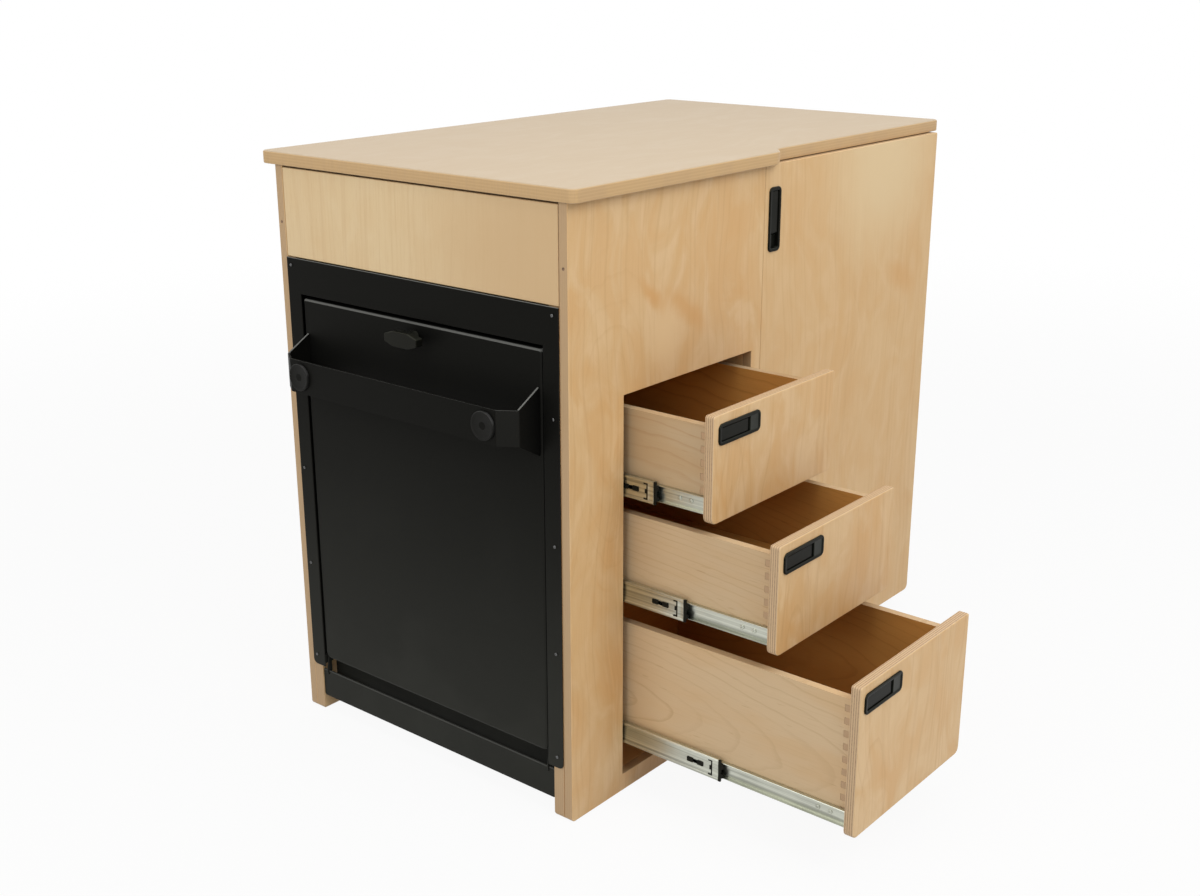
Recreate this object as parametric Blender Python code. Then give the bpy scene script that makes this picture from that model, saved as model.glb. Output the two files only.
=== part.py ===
"""A plywood shower and kitchen cabinet for a small camper, in metres, +Z up.

The cabinet is laid out from the corner of its body that lies nearest to both the shower
end and the drawer face: X runs along the drawer face, Y runs back along the shower end and
Z runs up from the floor.  The drawers stand open by the amounts named below, and the
origin of the finished model lies in the middle of its footprint, on the floor.
"""

import math
from collections import namedtuple

import bmesh
import bpy
from mathutils import Vector

# Body of the cabinet
BODY_LENGTH = 0.968
HEIGHT = 0.900
PLY = 0.015
FIT = 0.0003
BOARD_ARRIS = 0.0008
OVERRUN = 0.001

# Worktop
TOP_THICKNESS = 0.019
TOP_END_OVERHANG = 0.0055
TOP_FRONT_OVERHANG = 0.015
TOP_DOOR_SETBACK = 0.008
TOP_RIGHT_OVERHANG = 0.018
TOP_BACK_OVERHANG = 0.025
TOP_CORNER_RADIUS = 0.010
TOP_UPPER_ROUND = 0.003
TOP_LOWER_ROUND = 0.002
TOP_STEP_START = 0.446
TOP_STEP_TURN = math.radians(50)

# Drawer bay in the front panel
OPENING_LEFT = 0.114
OPENING_WIDTH = 0.304
OPENING_BOTTOM = 0.027
SLOT_UNDER_DRAWERS = 0.043
STILE = 0.0242
REVEAL = 0.003
FOOT_RADIUS = 0.006

# Shower end
CHEEK = 0.018
FALSE_FRONT_HEIGHT = 0.1305
FALSE_FRONT_GAP = 0.003
FALSE_FRONT_JOINT = 0.001
FLANGE_THICKNESS = 0.002
FLANGE_LEG = 0.0275
FLANGE_HEADER = 0.0535
FLANGE_BOTTOM = 0.080
FLANGE_CORNER_RADIUS = 0.008
FLANGE_TOP_GAP = 0.001
CASE_WALL = 0.0015
CASE_SIDE_SETBACK = 0.0065
CASE_TOP_RISE = 0.018
CASE_FLOOR = 0.086
CASE_BACK_CLEARANCE = 0.0015
CASE_SILL_X = 0.0265
CASE_SILL_TOP = 0.100
CASE_APRON_BOTTOM = 0.045

# Fold-down shower door
PAN_DEPTH = 0.020
PAN_WALL = 0.0015
PAN_PROUD = 0.0005
PAN_GAP = 0.0025
PAN_TOP_GAP = 0.0055
PAN_BOTTOM = 0.098
PAN_LOWER_RADIUS = 0.010
PAN_UPPER_RADIUS = 0.005
PAN_FRONT_ROUND = 0.0038
HINGE_X = 0.004
ROD_RADIUS = 0.0022
ROD_FIT = 0.0004
EAR_WALL = 0.0018
EAR_INSET = 0.0002
EAR_OVERLAP = 0.010
EAR_SIDE_GAP = 0.0005

# Rail that the shower door stands on when it is folded down
RAIL_DEPTH = 0.058
RAIL_LEG = 0.041
RAIL_SIDE = 0.051
RAIL_BEVEL = 0.0255
RAIL_SHEET = 0.003
RAIL_HEIGHT = 0.050
RAIL_ROOT_HEIGHT = 0.095
RAIL_FROM_TOP = 0.1002
RAIL_BEND = 0.006
PAD_RADIUS = 0.020
PAD_PROUD = 0.004
PAD_INSET = 0.098
PAD_FLOOR_GAP = 0.005

# Kick bar and the hinge rod along its top edge
KICK_BOTTOM = 0.0265
KICK_FACE_X = 0.002
KICK_SHEET = 0.0015
KICK_CORNER_RADIUS = 0.004

# Turn knob of the shower door
KNOB_LENGTH = 0.064
KNOB_HEIGHT = 0.022
KNOB_TIP_HEIGHT = 0.011
KNOB_FLAT_LENGTH = 0.030
KNOB_THICKNESS = 0.012
KNOB_REACH = 0.029
KNOB_STEM_RADIUS = 0.009
KNOB_SPINDLE_RADIUS = 0.004
KNOB_FROM_TOP = 0.021
KNOB_ROUND = 0.0025
CAM_LENGTH = 0.030
CAM_WIDTH = 0.012
CAM_THICKNESS = 0.003

# Tall door, cupboard and piano hinge
DOOR_GAP = 0.0008
DOOR_BOTTOM = 0.034
DOOR_FOOT_RADIUS = 0.010
DOOR_CORNER_RADIUS = 0.003
TOE_DEPTH = 0.075
LEAF_SHEET = 0.001
LEAF_WIDTH = 0.013
LEAF_END_INSET = 0.025
KNUCKLE_RADIUS = 0.0024
PIN_RADIUS = 0.0011
KNUCKLE_LENGTH = 0.070
KNUCKLE_GAP = 0.0004

# Drawers, from the top one down
FRONT_HEIGHTS = (0.151, 0.156, 0.221)
BOX_HEIGHTS = (0.124, 0.130, 0.187)
PULLED_LENGTHS = (0.147, 0.254, 0.383)
FRONT_TOP_RADIUS = 0.004
FRONT_FOOT_RADIUS = 0.010
FRONT_ARRIS = 0.0015
BOX_BOARD = 0.012
BOX_SHORTER = 0.010
BOX_RISE = 0.009
BOX_BOTTOM = 0.006
BOX_BOTTOM_RISE = 0.010
GROOVE_DEPTH = 0.006
FINGER = 0.00925

# Telescopic runners: the cabinet, middle and drawer members
RUNNER_SPACE = 0.0127
RUNNER_LENGTH = 0.500
RUNNER_SETBACK = 0.0085
RUNNER_END_GAP = 0.0265
RUNNER_RISE = 0.024
STEEL = 0.0012
OUTER_HEIGHT = 0.045
OUTER_REACH = 0.0093
OUTER_LIP = 0.0056
MIDDLE_HEIGHT = 0.033
MIDDLE_START = 0.0019
MIDDLE_REACH = 0.0095
MIDDLE_WEB_START = 0.0032
MIDDLE_RACE = 0.0052
MIDDLE_LIP = 0.0040
MIDDLE_ROUND = 0.0012
INNER_HEIGHT = 0.0242
INNER_START = 0.0056
BUMPER_LENGTH = 0.007
SLOT_LENGTH = 0.018
SLOT_HEIGHT = 0.006
SLOT_SETBACK = 0.026

# Flush pulls
PULL_LENGTH = 0.096
PULL_WIDTH = 0.030
PULL_RADIUS = 0.006
PULL_PROUD = 0.0025
PULL_RIM = 0.004
PULL_RIM_ROUND = 0.001
PULL_CUP_INSET = 0.0025
PULL_CUP_RADIUS = 0.004
PULL_CUP_DEPTH = 0.012
PULL_DISH_LENGTH = 0.062
PULL_DISH_DEPTH = 0.004
PULL_WELL_DEPTH = 0.013
PULL_WELL_RADIUS = 0.003
PULL_FINGER_SLOT = 0.006
PULL_SIDE_INSET = 0.010
PULL_TOP_INSET = 0.0125
DOOR_PULL_TOP_INSET = 0.0345
BUTTON_THICKNESS = 0.0045
BUTTON_SINK = 0.0008
BUTTON_TRAVEL = 0.0058
BUTTON_ROUND = 0.0007

# Facets
CORNER_STEPS = 4
ROUND_SIDES = 24
SMALL_SIDES = 12

# Derived places shared by several pieces
BODY_DEPTH = PLY + RUNNER_SETBACK + RUNNER_LENGTH + RUNNER_END_GAP + PLY
BOX_DEPTH = RUNNER_LENGTH - BOX_SHORTER
PANEL_TOP = HEIGHT - TOP_THICKNESS - FIT
BACK_Y = BODY_DEPTH
INSIDE_BACK = BODY_DEPTH - PLY
OPENING_RIGHT = OPENING_LEFT + OPENING_WIDTH
OPENING_TOP = (OPENING_BOTTOM + SLOT_UNDER_DRAWERS + sum(FRONT_HEIGHTS)
               + REVEAL * len(FRONT_HEIGHTS))
PANEL_RIGHT = OPENING_RIGHT + STILE
DOOR_LEFT = PANEL_RIGHT + DOOR_GAP
CARCASS_FRONT = PLY + 2 * LEAF_SHEET + 3 * FIT
FALSE_TOP = PANEL_TOP - FALSE_FRONT_GAP
FALSE_BOTTOM = FALSE_TOP - FALSE_FRONT_HEIGHT
FLANGE_TOP = FALSE_BOTTOM - FLANGE_TOP_GAP
FLANGE_FRONT = -FIT - FLANGE_THICKNESS
PASSAGE_TOP = FLANGE_TOP - FLANGE_HEADER
PAN_TOP = PASSAGE_TOP - PAN_TOP_GAP
PAN_SIDE = PLY + FLANGE_LEG + PAN_GAP
PAN_FACE = -PAN_PROUD
RAIL_MIDDLE_Z = PAN_TOP - RAIL_FROM_TOP
HINGE_Z = HINGE_X + RAIL_DEPTH + PAD_PROUD + PAD_FLOOR_GAP
DOOR_AXIS_X = BODY_LENGTH + KNUCKLE_RADIUS + FIT
DOOR_AXIS_Y = PLY + LEAF_SHEET + 1.5 * FIT
FOOTPRINT_FRONT = -max(PULLED_LENGTHS) - PULL_PROUD
FOOTPRINT_MIDDLE = Vector(((BODY_LENGTH + TOP_RIGHT_OVERHANG - RAIL_DEPTH - PAD_PROUD) / 2,
                           (FOOTPRINT_FRONT + BODY_DEPTH + TOP_BACK_OVERHANG) / 2, 0))

PLYWOOD = ((0.72, 0.50, 0.28), 0.45, 0.0)
WORKTOP_PLY = ((0.70, 0.55, 0.38), 0.40, 0.0)
MAPLE = ((0.74, 0.52, 0.30), 0.50, 0.0)
BLACK_STEEL = ((0.012, 0.012, 0.012), 0.42, 0.0)
ZINC = ((0.66, 0.67, 0.68), 0.28, 1.0)
BLACK_PLASTIC = ((0.015, 0.015, 0.015), 0.40, 0.0)
GREY_PLASTIC = ((0.055, 0.060, 0.065), 0.45, 0.0)

Carrier = namedtuple("Carrier", "empty at")


def clear_scene():
    for old in list(bpy.data.objects):
        bpy.data.objects.remove(old)


def carrier(name, at, parent=None):
    """An empty on a joint's axis; the pieces of one moving body hang on it."""
    at = Vector(at)
    empty = bpy.data.objects.new(name, None)
    bpy.context.collection.objects.link(empty)
    if parent:
        empty.parent = parent.empty
        empty.location = at - parent.at
    else:
        empty.location = at - FOOTPRINT_MIDDLE
    return Carrier(empty, at)


def solid(name, shape, body, at):
    """Turn a bmesh in cabinet coordinates into an object whose origin is at `at`."""
    bmesh.ops.translate(shape, verts=shape.verts, vec=-Vector(at))
    bmesh.ops.recalc_face_normals(shape, faces=shape.faces)
    mesh = bpy.data.meshes.new(name)
    shape.to_mesh(mesh)
    shape.free()
    obj = bpy.data.objects.new(name, mesh)
    bpy.context.collection.objects.link(obj)
    obj.parent = body.empty
    obj.location = Vector(at) - body.at
    return obj


def piece(name, shape, body, at, finish):
    obj = solid(name, shape, body, at)
    colour, roughness, metallic = finish
    material = bpy.data.materials.new(name)
    material.use_nodes = True
    shader = material.node_tree.nodes["Principled BSDF"]
    shader.inputs["Base Color"].default_value = (*colour, 1)
    shader.inputs["Roughness"].default_value = roughness
    shader.inputs["Metallic"].default_value = metallic
    obj.data.materials.append(material)
    return obj


def combine(obj, name, shape, body, operation):
    """Apply a hidden tool solid to a piece by an exact Boolean."""
    tool = solid(f"{obj.name}_{name}", shape, body, body.at)
    tool.hide_render = True
    tool.display_type = "WIRE"
    modifier = obj.modifiers.new(name, "BOOLEAN")
    modifier.operation = operation
    modifier.solver = "EXACT"
    modifier.object = tool


def cut(obj, name, shape, body):
    combine(obj, name, shape, body, "DIFFERENCE")


def fuse(obj, name, shape, body):
    combine(obj, name, shape, body, "UNION")


def ease(obj, width, segments=1):
    """Break the sharp edges of a board or plate."""
    modifier = obj.modifiers.new("arris", "BEVEL")
    modifier.width = width
    modifier.segments = segments
    modifier.limit_method = "ANGLE"
    modifier.angle_limit = math.radians(40)


def smooth(obj):
    obj.data.shade_smooth()
    obj.data.set_sharp_from_angle(angle=math.radians(35))


def fillet(corners, closed=True):
    """Points of an outline whose corners (a, b, radius) are rounded by arcs."""
    points = []
    count = len(corners)
    for index, (a, b, radius) in enumerate(corners):
        here = Vector((a, b))
        if radius == 0 or (not closed and index in (0, count - 1)):
            points.append((a, b))
            continue
        before = Vector(corners[index - 1][:2]) - here
        after = Vector(corners[(index + 1) % count][:2]) - here
        before.normalize()
        after.normalize()
        half = math.acos(max(-1.0, min(1.0, before.dot(after)))) / 2
        reach = radius / math.tan(half)
        centre = here + (before + after).normalized() * radius / math.sin(half)
        start = here + before * reach - centre
        end = here + after * reach - centre
        turn = math.atan2(start.x * end.y - start.y * end.x, start.dot(end))
        for step in range(CORNER_STEPS + 1):
            angle = turn * step / CORNER_STEPS
            x = start.x * math.cos(angle) - start.y * math.sin(angle)
            y = start.x * math.sin(angle) + start.y * math.cos(angle)
            points.append((centre.x + x, centre.y + y))
    return points


def box_corners(a_low, a_high, b_low, b_high, radii=(0, 0, 0, 0)):
    """Corners low-low, high-low, high-high and low-high, each with its radius."""
    return [(a_low, b_low, radii[0]), (a_high, b_low, radii[1]),
            (a_high, b_high, radii[2]), (a_low, b_high, radii[3])]


def prism(outline, axis, low, high):
    """Push an outline along an axis; its points are the other two axes in order."""
    place = {"X": lambda a, b, c: (c, a, b),
             "Y": lambda a, b, c: (a, c, b),
             "Z": lambda a, b, c: (a, b, c)}[axis]
    shape = bmesh.new()
    lower = [shape.verts.new(place(a, b, low)) for a, b in outline]
    upper = [shape.verts.new(place(a, b, high)) for a, b in outline]
    shape.faces.new(lower)
    shape.faces.new(upper)
    for index in range(len(outline)):
        after = (index + 1) % len(outline)
        shape.faces.new((lower[index], lower[after], upper[after], upper[index]))
    bmesh.ops.recalc_face_normals(shape, faces=shape.faces)
    return shape


def block(x_low, x_high, y_low, y_high, z_low, z_high):
    outline = [(a, b) for a, b, radius in box_corners(x_low, x_high, y_low, y_high)]
    return prism(outline, "Z", z_low, z_high)


def disc(axis, a, b, radius, low, high, sides=ROUND_SIDES):
    outline = [(a + radius * math.cos(math.tau * step / sides),
                b + radius * math.sin(math.tau * step / sides)) for step in range(sides)]
    return prism(outline, axis, low, high)


def together(shapes):
    """Several solids that don't touch, held in one bmesh."""
    result = shapes[0]
    for extra in shapes[1:]:
        copies = {vert: result.verts.new(vert.co) for vert in extra.verts}
        for face in extra.faces:
            result.faces.new([copies[vert] for vert in face.verts])
        extra.free()
    return result


def round_edges(shape, radius, segments, chosen):
    """Round the edges whose two ends both satisfy `chosen`."""
    edges = [edge for edge in shape.edges if all(chosen(vert.co) for vert in edge.verts)]
    bmesh.ops.bevel(shape, geom=edges, offset=radius, offset_type="OFFSET", segments=segments,
                    profile=0.5, affect="EDGES")


def near(value, target):
    return abs(value - target) < FIT / 10


# Carcass


def make_worktop(cabinet):
    left = -TOP_END_OVERHANG
    right = BODY_LENGTH + TOP_RIGHT_OVERHANG
    front = -TOP_FRONT_OVERHANG
    back = BACK_Y + TOP_BACK_OVERHANG
    radius = (TOP_DOOR_SETBACK - front) / (2 - 2 * math.cos(TOP_STEP_TURN))
    step_end = TOP_STEP_START + 2 * radius * math.sin(TOP_STEP_TURN)
    angles = [TOP_STEP_TURN * index / (CORNER_STEPS + 1) for index in range(CORNER_STEPS + 2)]
    step = [(TOP_STEP_START + radius * math.sin(angle), front + radius * (1 - math.cos(angle)))
            for angle in angles]
    step += [(step_end - radius * math.sin(angle),
              TOP_DOOR_SETBACK - radius * (1 - math.cos(angle))) for angle in angles[-2::-1]]
    corners = [(left, back, TOP_CORNER_RADIUS), (left, front, TOP_CORNER_RADIUS)]
    corners += [(a, b, 0) for a, b in step]
    corners += [(right, TOP_DOOR_SETBACK, TOP_CORNER_RADIUS), (right, back, TOP_CORNER_RADIUS)]
    low = HEIGHT - TOP_THICKNESS
    shape = prism(fillet(corners), "Z", low, HEIGHT)
    round_edges(shape, TOP_UPPER_ROUND, 3, lambda co: near(co.z, HEIGHT))
    round_edges(shape, TOP_LOWER_ROUND, 2, lambda co: near(co.z, low))
    top = piece("worktop", shape, cabinet, (left, front, low), WORKTOP_PLY)
    smooth(top)


def make_panels(cabinet):
    outline = fillet(box_corners(0, PANEL_RIGHT, 0, PANEL_TOP, (FOOT_RADIUS, 0, 0, 0)))
    front = piece("front_panel", prism(outline, "Y", 0, PLY), cabinet, (0, 0, 0), PLYWOOD)
    cut(front, "drawer_opening",
        block(OPENING_LEFT, OPENING_RIGHT, -OVERRUN, PLY + OVERRUN, OPENING_BOTTOM, OPENING_TOP),
        cabinet)
    ease(front, BOARD_ARRIS)

    outline = fillet(box_corners(0, BODY_LENGTH, 0, PANEL_TOP, (FOOT_RADIUS, 0, 0, 0)))
    rear = piece("rear_panel", prism(outline, "Y", INSIDE_BACK, BACK_Y), cabinet,
                 (0, INSIDE_BACK, 0), PLYWOOD)
    ease(rear, BOARD_ARRIS)

    outline = [(CARCASS_FRONT, DOOR_BOTTOM), (TOE_DEPTH, DOOR_BOTTOM), (TOE_DEPTH, 0),
               (INSIDE_BACK - FIT, 0), (INSIDE_BACK - FIT, PANEL_TOP), (CARCASS_FRONT, PANEL_TOP)]
    end = piece("right_end_panel", prism(outline, "X", BODY_LENGTH - PLY, BODY_LENGTH), cabinet,
                (BODY_LENGTH - PLY, CARCASS_FRONT, 0), PLYWOOD)
    ease(end, BOARD_ARRIS)


def make_partitions(cabinet):
    front = PLY + FIT
    back = INSIDE_BACK - FIT
    left = block(OPENING_LEFT - PLY, OPENING_LEFT, front, back, OPENING_BOTTOM + FIT, PANEL_TOP)
    ease(piece("left_partition", left, cabinet, (OPENING_LEFT - PLY, front, OPENING_BOTTOM),
               PLYWOOD), BOARD_ARRIS)
    right = block(OPENING_RIGHT, OPENING_RIGHT + PLY, front, back, 0, PANEL_TOP)
    ease(piece("right_partition", right, cabinet, (OPENING_RIGHT, front, 0), PLYWOOD),
         BOARD_ARRIS)
    floor = block(OPENING_LEFT - PLY, OPENING_RIGHT - FIT, front, back,
                  OPENING_BOTTOM - PLY, OPENING_BOTTOM)
    ease(piece("drawer_floor", floor, cabinet, (OPENING_LEFT - PLY, front, OPENING_BOTTOM - PLY),
               PLYWOOD), BOARD_ARRIS)
    shelf = block(OPENING_RIGHT + PLY + FIT, BODY_LENGTH - PLY - FIT, CARCASS_FRONT, back,
                  DOOR_BOTTOM, DOOR_BOTTOM + PLY)
    ease(piece("cupboard_floor", shelf, cabinet,
               (OPENING_RIGHT + PLY + FIT, CARCASS_FRONT, DOOR_BOTTOM), PLYWOOD), BOARD_ARRIS)


def make_cheek(name, cabinet, y_low, y_high, bay_y):
    """A post of the shower end, stepped back at its top behind the false front."""
    right = OPENING_LEFT - PLY - FIT
    step = FALSE_BOTTOM - FALSE_FRONT_JOINT
    outline = fillet([(0, 0, FOOT_RADIUS), (right, 0, 0), (right, PANEL_TOP, 0),
                      (PLY + FIT, PANEL_TOP, 0), (PLY + FIT, step, 0), (0, step, 0)])
    cheek = piece(name, prism(outline, "Y", y_low, y_high), cabinet, (0, y_low, 0), PLYWOOD)
    smooth(cheek)
    inward = math.copysign(1, y_low + y_high - 2 * bay_y)
    clear_y = bay_y - inward * OVERRUN
    heel = [(clear_y, -OVERRUN), (clear_y, FOOT_RADIUS)]
    for index in range(CORNER_STEPS + 1):
        angle = math.pi / 2 * index / CORNER_STEPS
        heel.append((bay_y + inward * FOOT_RADIUS * (1 - math.cos(angle)),
                     FOOT_RADIUS * (1 - math.sin(angle))))
    heel.append((bay_y + inward * FOOT_RADIUS, -OVERRUN))
    cut(cheek, "foot_round", prism(heel, "X", -OVERRUN, right + OVERRUN), cabinet)


def make_shower_end_boards(cabinet):
    front = PLY + FIT
    back = INSIDE_BACK - FIT
    make_cheek("front_cheek", cabinet, front, front + CHEEK, front + CHEEK)
    make_cheek("rear_cheek", cabinet, back - CHEEK, back, back - CHEEK)
    shape = block(0, PLY, PLY + FALSE_FRONT_JOINT, INSIDE_BACK - FALSE_FRONT_JOINT,
                  FALSE_BOTTOM, FALSE_TOP)
    ease(piece("false_front", shape, cabinet, (0, PLY, FALSE_BOTTOM), PLYWOOD), BOARD_ARRIS)


# Shower end sheet metal


def make_shower_case(cabinet):
    """The sheet-metal case of the bay, one piece with the flange that screws to the posts."""
    side = PLY
    far = BODY_DEPTH - PLY
    inner = side + FLANGE_LEG
    inner_far = far - FLANGE_LEG
    corner = FLANGE_CORNER_RADIUS
    outline = fillet([(side, FLANGE_BOTTOM, corner), (inner, FLANGE_BOTTOM, 0),
                      (inner, PASSAGE_TOP, 0), (inner_far, PASSAGE_TOP, 0),
                      (inner_far, FLANGE_BOTTOM, 0), (far, FLANGE_BOTTOM, corner),
                      (far, FLANGE_TOP, 0), (side, FLANGE_TOP, 0)])
    flange = prism(outline, "X", FLANGE_FRONT, FLANGE_FRONT + FLANGE_THICKNESS)
    case = piece("shower_case", flange, cabinet, (FLANGE_FRONT, side, FLANGE_BOTTOM), BLACK_STEEL)

    low_y = inner - CASE_SIDE_SETBACK
    high_y = inner_far + CASE_SIDE_SETBACK
    top = PASSAGE_TOP + CASE_TOP_RISE
    back = OPENING_LEFT - PLY - CASE_BACK_CLEARANCE
    root = FLANGE_FRONT + FLANGE_THICKNESS / 2
    fuse(case, "walls", block(root, back, low_y, high_y, CASE_FLOOR, top), cabinet)
    fuse(case, "apron", block(CASE_SILL_X, CASE_SILL_X + CASE_WALL, low_y, high_y,
                              CASE_APRON_BOTTOM, CASE_SILL_TOP), cabinet)
    front = FLANGE_FRONT - OVERRUN
    bay = [(CASE_SILL_X + CASE_WALL, CASE_FLOOR + CASE_WALL),
           (back - CASE_WALL, CASE_FLOOR + CASE_WALL), (back - CASE_WALL, top - CASE_WALL),
           (-FIT, top - CASE_WALL), (-FIT, PASSAGE_TOP), (front, PASSAGE_TOP),
           (front, CASE_SILL_TOP), (CASE_SILL_X + CASE_WALL, CASE_SILL_TOP)]
    cut(case, "bay", prism(bay, "Y", inner, inner_far), cabinet)
    sides = block(-FIT, back - CASE_WALL, low_y + CASE_WALL, high_y - CASE_WALL,
                  CASE_SILL_TOP, top - CASE_WALL)
    cut(case, "bay_sides", sides, cabinet)
    sump = block(CASE_SILL_X + CASE_WALL, back - CASE_WALL, low_y + CASE_WALL, high_y - CASE_WALL,
                 CASE_FLOOR + CASE_WALL, CASE_SILL_TOP + OVERRUN)
    cut(case, "bay_floor", sump, cabinet)
    throat = block(front, CASE_SILL_X, inner, inner_far, CASE_APRON_BOTTOM - OVERRUN,
                   CASE_SILL_TOP + OVERRUN)
    cut(case, "hinge_throat", throat, cabinet)


def ear_stations():
    """The two stretches, as (low, high) in Y, where the door's ears turn on the rod."""
    low = PAN_SIDE + EAR_INSET
    high = BODY_DEPTH - low
    return (low, low + PAN_WALL), (high - PAN_WALL, high)


def make_kick_bar(cabinet):
    low_y = PLY + FIT + CHEEK + FIT
    high_y = BODY_DEPTH - low_y
    outline = fillet(box_corners(low_y, high_y, KICK_BOTTOM, HINGE_Z,
                                 (KICK_CORNER_RADIUS, KICK_CORNER_RADIUS, 0, 0)))
    bar = piece("kick_bar", prism(outline, "X", KICK_FACE_X, KICK_FACE_X + KICK_SHEET), cabinet,
                (KICK_FACE_X, low_y, KICK_BOTTOM), BLACK_STEEL)
    eye = ROD_RADIUS + ROD_FIT + EAR_WALL
    notches = [block(KICK_FACE_X - OVERRUN, KICK_FACE_X + KICK_SHEET + OVERRUN,
                     low - EAR_SIDE_GAP, high + EAR_SIDE_GAP, HINGE_Z - eye - OVERRUN,
                     HINGE_Z + OVERRUN) for low, high in ear_stations()]
    cut(bar, "ear_notches", together(notches), cabinet)
    fuse(bar, "hinge_rod", disc("Y", HINGE_X, HINGE_Z, ROD_RADIUS, low_y, high_y, SMALL_SIDES),
         cabinet)


def make_shower_door(door):
    low_y = PAN_SIDE
    high_y = BODY_DEPTH - PAN_SIDE
    radii = (PAN_LOWER_RADIUS, PAN_LOWER_RADIUS, PAN_UPPER_RADIUS, PAN_UPPER_RADIUS)
    outline = fillet(box_corners(low_y, high_y, PAN_BOTTOM, PAN_TOP, radii))
    shape = prism(outline, "X", PAN_FACE, PAN_FACE + PAN_DEPTH)
    round_edges(shape, PAN_FRONT_ROUND, 2, lambda co: near(co.x, PAN_FACE))
    pan = piece("shower_door", shape, door, (PAN_FACE, low_y, PAN_BOTTOM), BLACK_STEEL)
    smooth(pan)
    radii = [max(radius - PAN_WALL, 0.0) for radius in radii]
    hollow = fillet(box_corners(low_y + PAN_WALL, high_y - PAN_WALL, PAN_BOTTOM + PAN_WALL,
                                PAN_TOP - PAN_WALL, radii))
    cut(pan, "hollow", prism(hollow, "X", PAN_FACE + PAN_WALL, PAN_FACE + PAN_DEPTH + OVERRUN), door)
    eye = ROD_RADIUS + ROD_FIT + EAR_WALL
    lap = PAN_BOTTOM + PAN_LOWER_RADIUS + EAR_OVERLAP
    ear = fillet([(HINGE_X - eye, HINGE_Z - eye, eye - FIT),
                  (HINGE_X + eye, HINGE_Z - eye, eye - FIT),
                  (HINGE_X + eye, HINGE_Z + eye, 0), (PAN_FACE + PAN_DEPTH / 2, PAN_BOTTOM, 0),
                  (PAN_FACE + PAN_DEPTH - FIT, lap, 0), (PAN_FACE + PAN_FRONT_ROUND, lap, 0),
                  (PAN_FACE + PAN_FRONT_ROUND, PAN_BOTTOM, 0), (HINGE_X - eye, HINGE_Z + eye, 0)])
    ears = [prism(ear, "Y", low, high) for low, high in ear_stations()]
    fuse(pan, "hinge_ears", together(ears), door)
    cut(pan, "rod_bore", disc("Y", HINGE_X, HINGE_Z, ROD_RADIUS + ROD_FIT, low_y, high_y,
                              SMALL_SIDES), door)
    spindle = disc("X", BODY_DEPTH / 2, PAN_TOP - KNOB_FROM_TOP, KNOB_SPINDLE_RADIUS + FIT,
                   PAN_FACE - OVERRUN, PAN_FACE + PAN_WALL + OVERRUN, SMALL_SIDES)
    cut(pan, "spindle_hole", spindle, door)


def make_rail(door):
    """Bent strip whose legs narrow from their roots to the bar across the front."""
    root = PAN_FACE - FIT
    far = BODY_DEPTH - RAIL_SIDE
    corners = [(root, RAIL_SIDE, 0), (-RAIL_LEG, RAIL_SIDE, RAIL_BEND),
               (-RAIL_DEPTH, RAIL_SIDE + RAIL_BEVEL, RAIL_BEND),
               (-RAIL_DEPTH, far - RAIL_BEVEL, RAIL_BEND), (-RAIL_LEG, far, RAIL_BEND),
               (root, far, 0)]
    path = [Vector(point) for point in fillet(corners, closed=False)]
    shape = bmesh.new()
    rings = []
    for index, point in enumerate(path):
        arriving = (point - path[max(index - 1, 0)]).normalized()
        leaving = (path[min(index + 1, len(path) - 1)] - point).normalized()
        along = (arriving + leaving).normalized()
        square = arriving if arriving.length else leaving
        lean = max(along.dot(square), 0.5)
        inward = Vector((-along.y, along.x)) * RAIL_SHEET / lean
        inner = point - inward
        share = max(0.0, (point.x + RAIL_LEG) / (root + RAIL_LEG))
        half = (RAIL_HEIGHT + (RAIL_ROOT_HEIGHT - RAIL_HEIGHT) * share) / 2
        rings.append([shape.verts.new((place.x, place.y, RAIL_MIDDLE_Z + rise))
                      for place, rise in ((point, -half), (point, half), (inner, half),
                                          (inner, -half))])
    for ring, after in zip(rings, rings[1:]):
        for index in range(4):
            other = (index + 1) % 4
            shape.faces.new((ring[index], ring[other], after[other], after[index]))
    shape.faces.new(rings[0])
    shape.faces.new(rings[-1])
    rail = piece("shower_rail", shape, door, (root, BODY_DEPTH / 2, RAIL_MIDDLE_Z), BLACK_STEEL)
    smooth(rail)
    pads = [disc("X", y, RAIL_MIDDLE_Z, PAD_RADIUS, -RAIL_DEPTH - PAD_PROUD,
                 RAIL_SHEET / 2 - RAIL_DEPTH) for y in (PAD_INSET, BODY_DEPTH - PAD_INSET)]
    fuse(rail, "foot_pads", together(pads), door)


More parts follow.
